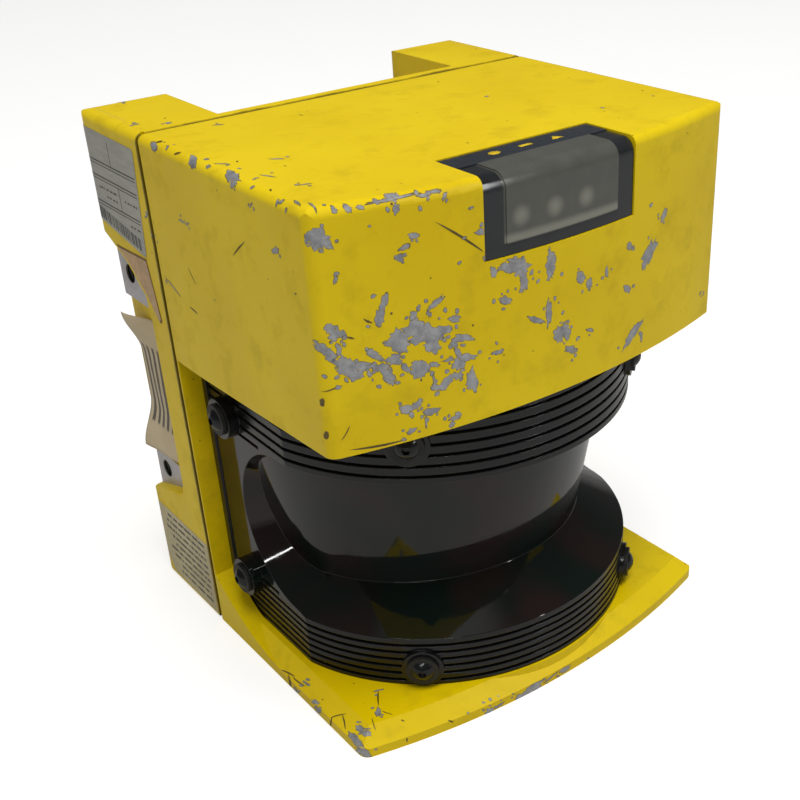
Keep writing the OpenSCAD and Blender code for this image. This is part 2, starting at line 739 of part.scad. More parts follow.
// Section of the core whose leaning face is the scan window.
module core_section(g) {
    r_mid = window_r - g / cos(window_lean);
    run = body_h * tan(window_lean);
    polygon([[0, pocket_z - body_h], [r_mid - run, pocket_z - body_h],
        [r_mid + run, pocket_z + body_h], [0, pocket_z + body_h]]);
}

module core(g) {
    y0 = axis_y + window_back;
    intersection() {
        translate([0, y0, 0]) rotate_extrude($fn = 180) core_section(g);
        translate([-body_w, y0 - body_d, -body_h]) cube([2 * body_w, body_d, 3 * body_h]);
    }
    translate([0, seam_y, 0]) rotate([90, 0, 0]) linear_extrude(seam_y - y0) {
        core_section(g);
        mirror([1, 0]) core_section(g);
    }
}

// The scan pocket: a groove turned about the axis, whose ends are cones lying along X.
module pocket(g) {
    x_out = cover_r + 2;
    x_in = window_r - 12;
    dy = axis_y - pocket_cy;
    r_out = pocket_half(sqrt(x_out * x_out + dy * dy), g);
    r_in = pocket_half(sqrt(x_in * x_in + dy * dy), g);
    difference() {
        union() {
            intersection() {
                translate([0, axis_y, 0]) rotate_extrude($fn = 180) skirt_section(g);
                translate([-body_w, pocket_cy - body_d, 0]) cube([2 * body_w, body_d, body_h]);
            }
            for (s = [-1, 1]) intersection() {
                along_x(s > 0 ? x_in : -x_out, pocket_cy, pocket_z)
                    cylinder(r1 = s > 0 ? r_in : r_out, r2 = s > 0 ? r_out : r_in, h = x_out - x_in);
                translate([-body_w, pocket_cy, 0]) cube([2 * body_w, body_d, body_h]);
            }
        }
        core(g);
    }
}

module optics_cover() {
    color("black") difference() {
        union() {
            difference() {
                d_block(cover_r, cover_z0, cover_z1, wall_y);
                pocket(0);
                grooves();
            }
            for (s = [-1, 1]) translate([s > 0 ? side_x - 1 : -side_x - frame_proud, wall_y - frame_w, ramp_h])
                cube([1 + frame_proud, frame_w, hood_z - ramp_h - 0.5]);
            at_cover_screws() translate([0, 0, cover_in_r - flat_in])
                cylinder(r = collar_r, h = screw_seat_r - cover_in_r + flat_in);
        }
        difference() {
            d_block(cover_in_r, cover_z0 - 1, cover_z1 + 1, wall_y + 1);
            pocket(cover_t);
        }
        at_cover_screws() translate([0, 0, cover_in_r - flat_in - 2])
            cylinder(r = cover_screw_r + slip, h = cover_t + flat_in + 6);
    }
}

// Section of a groove at height z into a surface that lies r outwards, from its bottom out into the open.
module groove_section(r, z) {
    polygon([[r - groove_d, z - groove_root / 2], [r, z - groove_w / 2], [r + 2, z - groove_w / 2],
        [r + 2, z + groove_w / 2], [r, z + groove_w / 2], [r - groove_d, z + groove_root / 2]]);
}

// Grooves across the cover's flat sides, between two distances along Y.
module side_grooves(zs, y0, y1) {
    translate([0, y1, 0]) rotate([90, 0, 0]) linear_extrude(y1 - y0) for (z = zs) {
        groove_section(side_x, z);
        mirror([1, 0]) groove_section(side_x, z);
    }
}

// Grooves of the two ribbed bands, kept clear of the screw collars.
module grooves() {
    zs = concat(upper_zs, lower_zs);
    screw_y = seam_y - side_screw_y;
    difference() {
        union() {
            intersection() {
                translate([0, axis_y, 0]) rotate_extrude($fn = 180) for (z = zs) groove_section(cover_r, z);
                translate([-body_w, axis_y - body_d, 0]) cube([2 * body_w, body_d, body_h]);
            }
            side_grooves(zs, axis_y - cover_r / 2, wall_y - frame_w);
            side_grooves([upper_zs[0] - upper_pitch, lower_zs[0] + lower_pitch],
                screw_y - collar_r - short_groove_l, screw_y);
        }
        at_cover_screws() translate([0, 0, cover_in_r - flat_in - 2]) cylinder(r = collar_r, h = 12 + flat_in);
    }
}

module cover_seal_lower() {
    color("dimgray") d_ring(cover_r - slip - 0.1, cover_r - slip - 0.1 - seal_w, base_t - seal_t, base_t,
        wall_y - 1.1);
}

module cover_seal_upper() {
    color("dimgray") d_ring(cover_r, cover_in_r, cover_z1, cover_ceiling_z, wall_y);
}

module cover_washers() {
    color("dimgray") at_cover_screws() translate([0, 0, screw_seat_r]) difference() {
        cylinder(r = washer_r, h = washer_t);
        translate([0, 0, -1]) cylinder(r = cover_screw_r + fine, h = washer_t + 2);
    }
}

module cover_screws() {
    dome_r = (button_r * button_r + button_h * button_h) / (2 * button_h);
    color("black") at_cover_screws() translate([0, 0, screw_seat_r + washer_t]) {
        difference() {
            intersection() {
                cylinder(r = button_r, h = button_h);
                translate([0, 0, button_h - dome_r]) sphere(dome_r);
            }
            translate([0, 0, 0.6]) cylinder(r = 1.45, h = button_h, $fn = 6);
        }
        translate([0, 0, -cover_screw_l]) cylinder(r = cover_screw_r, h = cover_screw_l + 0.1);
    }
}

// ---- display ----

// Skin of the hood between two depths, which the display pieces are cut from.
module hood_skin(outer, inner) {
    r = display_edge_r + lens_step;
    difference() {
        cast_block(hood_z, body_h - outer, seam_y, outer, r - outer, foot_r);
        cast_block(hood_z, body_h - inner, seam_y, inner, r - inner, foot_r);
    }
}

module display_strip() {
    color("darkslategray") intersection() {
        hood_skin(slip, slot_t);
        translate([-display_w / 2 + slip, strip_y + 0.1, body_h - 6])
            cube([display_w - 2 * slip, strip_d - slip, 10]);
    }
}

module display_lens() {
    color("gray") translate([0, 0, -lens_gap]) {
        intersection() {
            hood_skin(lens_step, slot_t - lens_gap);
            translate([-display_w / 2 + slip, front_y - 5, display_z + slip])
                cube([display_w - 2 * slip, strip_y - front_y + 5, display_h]);
        }
        intersection() {
            hood_skin(lens_raise, lens_step + 0.4);
            translate([-window_w / 2, front_y - 5, display_z + 3.6])
                cube([window_w, strip_y - front_y + 5, display_h]);
        }
    }
}

module display_board() {
    color("darkgreen") translate([led_x - display_board_w / 2, display_board_y, led_z - display_board_h / 2])
        cube([display_board_w, board_t, display_board_h]);
}

module status_leds() {
    color("white") for (i = [-1:1]) along_y(led_x + i * led_pitch, display_board_y - led_l, led_z) {
        translate([0, 0, led_r]) cylinder(r = led_r, h = led_l - led_r);
        translate([0, 0, led_r]) sphere(led_r);
    }
}

// ---- scanner unit ----

module scanner_frame() {
    color("silver") difference() {
        union() {
            translate([0, 0, frame_z0]) linear_extrude(frame_plate_t) intersection() {
                translate([0, axis_y]) circle(frame_plate_r);
                translate([-frame_plate_r, wall_y - 2 * frame_plate_r]) square(2 * frame_plate_r);
            }
            translate([-column_w / 2, wall_y - column_d, base_t])
                cube([column_w, column_d, cover_ceiling_z - base_t]);
            translate([0, axis_y, lens_top_z - 11]) cylinder(r = lens_r + lens_wall + 5, h = 5);
        }
        translate([0, axis_y, frame_z0 - 1]) cylinder(r = bearing_r, h = frame_plate_t + 2);
        translate([0, axis_y, lens_top_z - 12]) cylinder(r = lens_r + lens_wall + 0.1, h = 7);
        at_frame_screws() translate([0, 0, frame_z0 - 1]) cylinder(r = frame_screw_r + fine, h = frame_plate_t + 2);
    }
}

module frame_screws() {
    color("silver") at_frame_screws() {
        translate([0, 0, frame_z0 + 1]) cylinder(r = frame_screw_r, h = hood_floor_z - frame_z0 - 1);
        translate([0, 0, hood_floor_z]) difference() {
            cylinder(r = 3.5, h = 3.2);
            translate([0, 0, 1.4]) cylinder(r = 1.7, h = 3, $fn = 6);
        }
    }
}

module motor_housing() {
    color("dimgray") translate([0, axis_y, cover_ceiling_z]) difference() {
        cylinder(r = motor_r, h = motor_h);
        translate([0, 0, -1]) cylinder(r = motor_r - 3, h = motor_h - bearing_l + 1);
        cylinder(r = bearing_r, h = motor_h + 1);
    }
}

module motor_bearings() {
    color("silver") for (z = [cover_ceiling_z - bearing_l, cover_ceiling_z + motor_h - bearing_l])
        translate([0, axis_y, z]) difference() {
            cylinder(r = bearing_r, h = bearing_l);
            translate([0, 0, -1]) cylinder(r = shaft_r + shaft_fit, h = bearing_l + 2);
        }
}

module motor_shaft() {
    z0 = hub_top_z - hub_bore_l;
    color("silver") translate([0, axis_y, z0])
        cylinder(r = shaft_r, h = cover_ceiling_z + motor_h - 1 - z0);
}

module motor_rotor() {
    color("saddlebrown") translate([0, axis_y, cover_ceiling_z + 2]) difference() {
        cylinder(r = motor_r - 6, h = motor_h - bearing_l - 4);
        translate([0, 0, -1]) cylinder(r = shaft_r, h = motor_h);
    }
}

// Space on the reflecting side of the mirror plane, moved out of the mirror by its thickness t.
module mirror_side(t) {
    translate([0, axis_y, scan_z]) rotate([-45, 0, 0]) translate([-body_w / 2, -body_w / 2, t - body_w])
        cube(body_w);
}

module mirror_hub() {
    color("dimgray") difference() {
        translate([0, axis_y, scan_z - hub_r]) cylinder(r = hub_r, h = hub_top_z - scan_z + hub_r);
        mirror_side(mirror_t);
        translate([0, axis_y, hub_top_z - hub_bore_l]) cylinder(r = shaft_r, h = hub_bore_l + 1);
    }
}

module scan_mirror() {
    color("lightsteelblue") difference() {
        intersection() {
            translate([0, axis_y, scan_z - hub_r]) cylinder(r = hub_r - 0.5, h = 2 * hub_r + mirror_t);
            mirror_side(mirror_t);
        }
        mirror_side(0);
    }
}

module encoder_disc() {
    color("gray") translate([0, axis_y, encoder_z]) difference() {
        union() {
            cylinder(r = encoder_r, h = encoder_t);
            cylinder(r = 8, h = 4);
        }
        translate([0, 0, -1]) cylinder(r = shaft_r, h = 6);
    }
}

// Forked light barrier that reads the encoder disc's edge.
module encoder_sensor() {
    x0 = encoder_r - 5;
    gap = 1.5;
    color("black") difference() {
        translate([x0, axis_y - 5, encoder_z - 5]) cube([11, 10, frame_z0 - encoder_z + 5]);
        translate([x0 - 1, axis_y - 6, encoder_z - gap]) cube([8, 12, encoder_t + 2 * gap]);
    }
}

module lens_holder() {
    z0 = board_z + board_t;
    color("black") translate([0, axis_y, z0]) difference() {
        cylinder(r = lens_r + lens_wall, h = lens_top_z - z0);
        translate([0, 0, -1]) cylinder(r = lens_r - 2, h = lens_top_z);
        translate([0, 0, lens_seat_z - z0]) cylinder(r = lens_r, h = lens_top_z);
    }
}

// Plano-convex receiver lens, bored for the laser module.
module receiver_lens() {
    rise = lens_top_z - lens_seat_z - 1;
    ball = (lens_r * lens_r + rise * rise) / (2 * rise);
    color("lightblue") translate([0, axis_y, lens_seat_z]) difference() {
        intersection() {
            cylinder(r = lens_r, h = rise);
            translate([0, 0, rise + 1 - ball]) sphere(ball);
        }
        translate([0, 0, -1]) cylinder(r = laser_r, h = rise + 3);
    }
}

module laser_module() {
    z0 = board_z + board_t;
    color("goldenrod") translate([0, axis_y, z0]) difference() {
        cylinder(r = laser_r, h = lens_top_z + 1 - z0);
        translate([0, 0, lens_top_z - 2 - z0]) cylinder(r = laser_r - 1.5, h = 4);
    }
}

module receiver_board() {
    color("darkgreen") translate([0, axis_y, board_z]) cylinder(r = lens_r + 4.5, h = board_t);
}

module lower_sensor_board() {
    color("darkgreen") half_ring(sensor_ring_r + 3, sensor_ring_r - 14, board_z, board_z + board_t);
}

module upper_sensor_board() {
    color("darkgreen") half_ring(sensor_ring_r + 3, sensor_ring_r - 8, cover_ceiling_z - board_t, cover_ceiling_z);
}

// Sensors that watch the cover for dirt, spread along the front of the two sensor boards.
module sensor_row(z) {
    for (a = [-72:36:72]) translate([0, axis_y, z]) rotate([0, 0, a]) translate([0, -sensor_ring_r, 0])
        cylinder(r = 2.4, h = sensor_l);
}

module sensor_emitters() { color("ivory") sensor_row(board_z + board_t); }
module sensor_receivers() { color("black") sensor_row(cover_ceiling_z - board_t - sensor_l); }

// ---- electronics ----

module main_board() {
    color("darkgreen") difference() {
        translate([-main_board_w / 2, main_board_y, main_board_z]) cube([main_board_w, main_board_d, board_t]);
        for (p = spacers_at) translate([p[0], p[1], main_board_z - 1]) cylinder(r = 1.7, h = board_t + 2);
    }
}

module board_spacers() {
    color("silver") for (p = spacers_at) translate([p[0], p[1], hood_floor_z]) difference() {
        cylinder(r = spacer_r, h = main_board_z - hood_floor_z);
        translate([0, 0, main_board_z - hood_floor_z - 9]) cylinder(r = 1.5 + fine, h = 10);
    }
}

module board_screws() {
    color("silver") for (p = spacers_at) translate([p[0], p[1], main_board_z + board_t]) {
        cylinder(r = 2.8, h = 2);
        translate([0, 0, -8]) cylinder(r = 1.5, h = 8.1);
    }
}

module power_board() {
    color("darkgreen") translate([-power_board_w / 2, power_board_y - board_t, power_board_z - power_board_h / 2])
        cube([power_board_w, board_t, power_board_h]);
}

module power_spacers() {
    color("silver") for (sx = [-1, 1], sz = [-1, 1])
        along_y(sx * (power_board_w / 2 - 5), power_board_y, power_board_z + sz * (power_board_h / 2 - 5))
            cylinder(r = spacer_r, h = rear_y - wall_t - power_board_y);
}

// ---- connectors on the bay's wall; c holds the place across and the height ----

module connector_cutout(c) {
    translate([c[0] - plug_w / 2 - slip, rear_face_y - 1, c[1] - plug_h / 2 - slip])
        cube([plug_w + 2 * slip, bay_wall_t + 2, plug_h + 2 * slip]);
    for (s = [-1, 1]) along_y(c[0] + s * post_dx, rear_face_y - 1, c[1])
        cylinder(r = 1.6, h = bay_wall_t + 2);
}

// Plan of a D-shaped plug shell, wider above than below.
module plug_outline(inset) {
    w = plug_w - 2 * inset;
    h = plug_h - 2 * inset;
    polygon([[-w / 2 + 1.5, -h / 2], [w / 2 - 1.5, -h / 2], [w / 2, h / 2], [-w / 2, h / 2]]);
}

module connector(c, rows) {
    translate([c[0], bay_y, c[1]]) {
        rotate([-90, 0, 0]) {
            difference() {
                translate([-post_dx - 3.5, -plug_h / 2 - 1.5, 0]) cube([2 * post_dx + 7, plug_h + 3, 1]);
                for (s = [-1, 1]) translate([s * post_dx, 0, -1]) cylinder(r = 1.6, h = 3);
            }
            linear_extrude(7) difference() {
                plug_outline(0.2);
                plug_outline(1);
            }
            for (i = [0:rows[0] - 1]) translate([(i - (rows[0] - 1) / 2) * 2.7, 1.5, 0.5]) cylinder(r = 0.5, h = 5.5);
            for (i = [0:rows[1] - 1]) translate([(i - (rows[1] - 1) / 2) * 2.7, -1.5, 0.5]) cylinder(r = 0.5, h = 5.5);
        }
        translate([-plug_w / 2, -bay_wall_t - 4, -plug_h / 2]) cube([plug_w, bay_wall_t + 4, plug_h]);
    }
}

module power_connector() { color("lightgray") connector(connectors_at[0], [3, 2]); }
module data_connector() { color("lightgray") connector(connectors_at[1], [5, 4]); }

module connector_posts() {
    color("silver") for (c = connectors_at, s = [-1, 1]) along_y(c[0] + s * post_dx, bay_y + 1, c[1]) {
        difference() {
            cylinder(r = 2.7, h = 5, $fn = 6);
            translate([0, 0, 1]) cylinder(r = 1.25, h = 5);
        }
        translate([0, 0, -1 - bay_wall_t]) cylinder(r = 1.5, h = 1 + bay_wall_t + 0.2);
    }
}

rear_housing();
front_housing();
housing_seal();
housing_screws();
thread_inserts();
insert_caps();
optics_cover();
cover_seal_lower();
cover_seal_upper();
cover_screws();
cover_washers();
display_strip();
display_lens();
display_board();
status_leds();
scanner_frame();
frame_screws();
motor_housing();
motor_bearings();
motor_shaft();
motor_rotor();
mirror_hub();
scan_mirror();
encoder_disc();
encoder_sensor();
lens_holder();
receiver_lens();
laser_module();
receiver_board();
lower_sensor_board();
upper_sensor_board();
sensor_emitters();
sensor_receivers();
main_board();
board_spacers();
board_screws();
power_board();
power_spacers();
power_connector();
data_connector();
connector_posts();
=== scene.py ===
# %% [markdown]
# # A safety laser scanner, dressed for its picture
# The solids of this scanner come packed from the construction step: two die-cast housings, a smoke
# coloured optics cover between hood and base, and a mirror unit that spins inside. Blender adds what
# construction leaves out: worn enamel, glossy plastic, labels, marks and light. Everything is in
# metres and in one frame, so a piece goes where the construction says.

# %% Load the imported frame
import json
import math
import random

import bmesh
import bpy
from mathutils import Matrix, Vector
from mathutils.bvhtree import BVHTree


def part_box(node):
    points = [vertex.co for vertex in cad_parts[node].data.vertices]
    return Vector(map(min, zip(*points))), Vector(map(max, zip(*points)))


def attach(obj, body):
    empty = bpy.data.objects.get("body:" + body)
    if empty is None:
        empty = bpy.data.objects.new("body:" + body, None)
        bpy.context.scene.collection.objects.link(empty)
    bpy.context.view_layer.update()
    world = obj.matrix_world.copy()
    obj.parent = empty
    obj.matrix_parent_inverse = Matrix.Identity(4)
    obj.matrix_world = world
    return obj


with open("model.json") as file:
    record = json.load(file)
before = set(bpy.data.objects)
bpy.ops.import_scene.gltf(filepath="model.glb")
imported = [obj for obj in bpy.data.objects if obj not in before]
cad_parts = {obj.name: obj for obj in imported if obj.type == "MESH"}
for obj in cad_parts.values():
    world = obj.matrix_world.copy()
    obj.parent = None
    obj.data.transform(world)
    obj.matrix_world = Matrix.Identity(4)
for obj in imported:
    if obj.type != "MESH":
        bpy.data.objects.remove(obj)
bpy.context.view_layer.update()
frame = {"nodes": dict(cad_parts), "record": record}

# %% [markdown]
# ## Sizes that the lesson needs
# The seam between the two castings and the side and rear faces are read from the solids and never
# typed in twice. Work on small parts is easier in millimetres, so MM turns them to metres.

# %% Read the main sizes
MM = 0.001
rear_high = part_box("rear_housing")[1]
seam_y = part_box("housing_seal")[0][1]
half_width = rear_high[0]
rear_y = rear_high[1]
print("seam at y", round(seam_y / MM, 2), "mm, half width", round(half_width / MM, 2), "mm")

# %% [markdown]
# ## Small helpers
# Colours are written as sRGB hex values, as a paint maker's chart gives them, and Blender wants
# linear light, so one function turns them. One function adds a shader node with its settings and
# links. The last two open an empty material and close it with its relief and its shader.

# %% Helpers for colours and nodes
def colour(hex_code):
    """An sRGB hex colour as linear RGBA."""
    parts = [int(hex_code[i:i + 2], 16) / 255 for i in (0, 2, 4)]
    linear = [c / 12.92 if c <= 0.04045 else ((c + 0.055) / 1.055) ** 2.4 for c in parts]
    return (*linear, 1.0)


def node(tree, kind, settings=None, links=None):
    """Add one shader node, set what settings names and link what links names.

    A link from a node takes its first output; any other output is named.
    """
    made = tree.nodes.new("ShaderNode" + kind)
    for key, value in (settings or {}).items():
        if isinstance(key, int) or key in made.inputs:
            made.inputs[key].default_value = value
        else:
            setattr(made, key, value)
    for key, source in (links or {}).items():
        if isinstance(source, bpy.types.Node):
            source = source.outputs[0]
        tree.links.new(source, made.inputs[key])
    return made


def blank_material(name):
    """A new material with an empty node tree."""
    made = bpy.data.materials.new(name)
    made.use_nodes = True
    made.node_tree.nodes.clear()
    return made, made.node_tree


def coat(made, tree, height, depth_mm, settings, links, edges=None):
    """Close a material: height lifts the surface by up to depth_mm, links feed the shader."""
    feeds = {"Height": height}
    if edges is not None:
        feeds["Normal"] = edges
    lift = node(tree, "Bump", {"Strength": 1.0, "Distance": depth_mm * MM}, feeds)
    skin = node(tree, "BsdfPrincipled", settings, {**links, "Normal": lift})
    node(tree, "OutputMaterial", links={"Surface": skin})
    return made


print("enamel yellow in linear light:", [round(c, 3) for c in colour("E6C600")])

# %% [markdown]
# ## The camera
# The scanner stands a little below eye level and is seen from its front left, so that the hood's
# top, its curved front and its left side all show. A camera is a point and three directions. These
# were found beforehand, outside this lesson, by a program that fitted a camera to the straight
# edges of such a scanner, which is why they have so many digits. The lens is a mild tele that keeps
# the converging edges as the eye knows them from half a metre away.

# %% Place the camera
heart = Vector((0, 0, 0.09))
standpoint = Vector((-0.218118, -0.318628, 0.279821))
to_the_right = Vector((0.77755753, -0.62816053, -0.02861173))
upwards = Vector((0.3339902, 0.37401563, 0.86519527))
ahead = Vector((0.53278028, 0.68229514, -0.50061813))
camera_data = bpy.data.cameras.new("camera")
camera = bpy.data.objects.new("camera", camera_data)
bpy.context.collection.objects.link(camera)
camera.matrix_world = Matrix((
    (to_the_right.x, upwards.x, -ahead.x, standpoint.x),
    (to_the_right.y, upwards.y, -ahead.y, standpoint.y),
    (to_the_right.z, upwards.z, -ahead.z, standpoint.z),
    (0, 0, 0, 1),
))
camera_data.lens = 53.46
camera_data.sensor_width = 36
camera_data.shift_x = -0.1125
camera_data.shift_y = 0.0625
camera_data.clip_start = 0.01
bpy.context.scene.camera = camera
print("camera stands", round((standpoint - heart).length, 3), "m from the middle")

# %% [markdown]
# ## The studio
# A product table in a white room: light comes softly from all round, and one wide lamp above the
# front gives the top its brightness and leaves the sides in shade. The room lights the scanner at a
# level at which a colour looks as it is written. The lens sees plain white behind the scanner. What
# polished plastic mirrors is another matter: a bright ceiling straight above, and walls that fall off
# into darkness, which is what lets the black cover look deep black. Light Path tells these apart.

# %% Light the room
scene = bpy.context.scene
scene.view_settings.view_transform = "Standard"
ROOM_LIGHT = 0.45
room = bpy.data.worlds.new("white_room")
scene.world = room
room.use_nodes = True
tree = room.node_tree
tree.nodes.clear()
path = node(tree, "LightPath")
outwards = node(tree, "TexCoord")
compass = node(tree, "SeparateXYZ", links={0: outwards.outputs["Generated"]})
walls = node(tree, "MapRange",
             {"From Min": 0.93, "From Max": 0.99, "To Min": 0.09, "To Max": 0.60,
              "interpolation_type": "SMOOTHSTEP"}, {"Value": compass.outputs[2]})
low_walls = node(tree, "MapRange",
                 {"From Min": 0.0, "From Max": 0.12, "To Min": 0.35, "To Max": 0.0},
                 {"Value": compass.outputs[2]})
mirrored = node(tree, "Math", {"operation": "MAXIMUM"}, {0: walls, 1: low_walls})
seen = node(tree, "Math", {"operation": "MAXIMUM"},
            {0: path.outputs["Is Camera Ray"], 1: path.outputs["Is Transmission Ray"]})
glossy = node(tree, "Mix", {"data_type": "FLOAT", 2: ROOM_LIGHT},
              {0: path.outputs["Is Glossy Ray"], 3: mirrored})
strength = node(tree, "Mix", {"data_type": "FLOAT", 3: 1.0}, {0: seen, 2: glossy})
backdrop = node(tree, "Background", {"Color": (1, 1, 1, 1)}, {"Strength": strength})
node(tree, "OutputWorld", links={"Surface": backdrop})


def hang_lamp(name, shape, size, watts, place, turn=0.0):
    """An area lamp that looks at the heart of the scanner, turned about its own line of sight."""
    lamp_data = bpy.data.lights.new(name, "AREA")
    lamp_data.shape = shape
    lamp_data.size = size
    lamp_data.energy = watts
    lamp = bpy.data.objects.new(name, lamp_data)
    bpy.context.collection.objects.link(lamp)
    lamp.location = place
    towards = heart - lamp.location
    lamp.rotation_euler = (towards.to_track_quat("-Z", "Y").to_matrix() @
                           Matrix.Rotation(turn, 3, "Z")).to_euler()
    print(name, "hangs", round(towards.length, 2), "m away at", watts, "W")
    return lamp


front_lamp = hang_lamp("front_lamp", "DISK", 0.9, 16.0, (-0.08, -0.44, 1.50))
front_lamp.visible_glossy = False

# %% [markdown]
# The big lamp doesn't show in polished plastic, where it would lay a grey sheet over the black. The
# gleams come from two narrow tubes instead: they draw a thin bright line on each rim and a dot on
# each screw head, as strip lights in a workshop ceiling do.

# %% Hang two narrow tubes
TUBE_LONG, TUBE_WIDE, TUBE_WATTS = 0.7, 0.035, 3.0
tubes = (("tube_left", (-0.62, -0.62, 0.86), 0.5), ("tube_right", (0.45, -0.95, 0.72), 1.2))
for tube_name, place, turn in tubes:
    tube = hang_lamp(tube_name, "RECTANGLE", TUBE_LONG, TUBE_WATTS, place, turn)
    tube.data.size_y = TUBE_WIDE
    tube.visible_diffuse = False

# %% [markdown]
# ## The table top
# A plain pale board. To the lens it glows a little of its own, so that it melts into the white of
# the room, while the soft shadow under the scanner stays on it.

# %% Make the table top
bpy.ops.mesh.primitive_grid_add(x_subdivisions=2, y_subdivisions=2, size=6.0)
table_top = bpy.context.object
table_top.name = "table_top"
board, tree = blank_material("pale_table_board")
path = node(tree, "LightPath")
cloud = node(tree, "TexNoise", {"Scale": 3.0, "Detail": 2.0})
pale = node(tree, "Mix", {"data_type": "RGBA", 6: colour("C3C2C0"), 7: colour("C8C8C6")},
            {0: cloud})
wood = node(tree, "BsdfDiffuse", links={"Color": pale.outputs[2]})
glow_level = node(tree, "Math", {"operation": "MULTIPLY", 1: 0.58},
                  {0: path.outputs["Is Camera Ray"]})
glow = node(tree, "Emission", {"Color": (1, 1, 1, 1)}, {"Strength": glow_level})
together = node(tree, "AddShader", links={0: wood, 1: glow})
node(tree, "OutputMaterial", links={"Surface": together})
table_top.data.materials.append(board)
print("table top is", tuple(round(v, 1) for v in table_top.dimensions), "m")

# %% [markdown]
# ## One recipe for plain finishes
# Moulded plastic, plated steel, cast metal and rubber share a build: two tones that drift into each
# other, a fine grain of a known size that lifts the surface, and gloss that varies with the drift.
# What makes each its own is the numbers. Noise sizes are in millimetres, because the coordinates are
# turned to millimetres first. A stretch makes the grain run along one direction, as a lathe or a
# brush leaves it.

# %% The recipe
def millimetres(tree):
    """The place on the body, in millimetres."""
    place = node(tree, "TexCoord")
    scaled = node(tree, "VectorMath", {"operation": "SCALE", "Scale": 1000.0},
                  {0: place.outputs["Object"]})
    return scaled


def finish(name, dark, light, gloss, grain_mm, depth_mm, metallic=0.0, stretch=(1, 1, 1), ior=None):
    """A plain finish. gloss is the lowest and highest roughness."""
    made, tree = blank_material(name)
    place = millimetres(tree)
    drift = node(tree, "TexNoise", {"Scale": 1 / 16, "Detail": 3.0}, {"Vector": place})
    run = node(tree, "VectorMath", {"operation": "MULTIPLY", 1: stretch}, {0: place})
    grain = node(tree, "TexNoise",
                 {"Scale": 1 / grain_mm, "Detail": 4.0, "Roughness": 0.6}, {"Vector": run})
    mixed = node(tree, "Math", {"operation": "ADD"}, {0: drift, 1: grain})
    tone = node(tree, "MapRange", {"From Min": 0.7, "From Max": 1.3}, {"Value": mixed})
    paint = node(tree, "Mix", {"data_type": "RGBA", 6: colour(dark), 7: colour(light)}, {0: tone})
    shine = node(tree, "MapRange",
                 {"From Min": 0.3, "From Max": 0.7, "To Min": gloss[0], "To Max": gloss[1]},
                 {"Value": drift})
    settings = {"Metallic": metallic}
    if ior:
        settings["IOR"] = ior
    return coat(made, tree, grain, depth_mm, settings,
                {"Base Color": paint.outputs[2], "Roughness": shine})


print("the recipe is ready")

# %% [markdown]
# ## Yellow enamel on die-cast aluminium
# Both castings are sprayed with a signal yellow enamel and baked. It gives the eye a full, slightly
# greenish yellow with a semi-gloss, a faint orange peel from the spray gun and, after years on a
# machine, a grey-brown film of oil and dust in drifting patches. The four pads round the thread
# inserts are machined after painting, so they are bare metal. Real orange peel has waves of about
# a millimetre, which is too fine to show here, so it is drawn at 2.4 mm. The specular level
# was matched and lies well under its default.

# %% Mix the enamel
pad_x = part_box("thread_inserts")[1][0] / MM
pad_from_y = 50.0
seam_middle = seam_y / MM + 0.4
seam_darkening_creep = 1.6


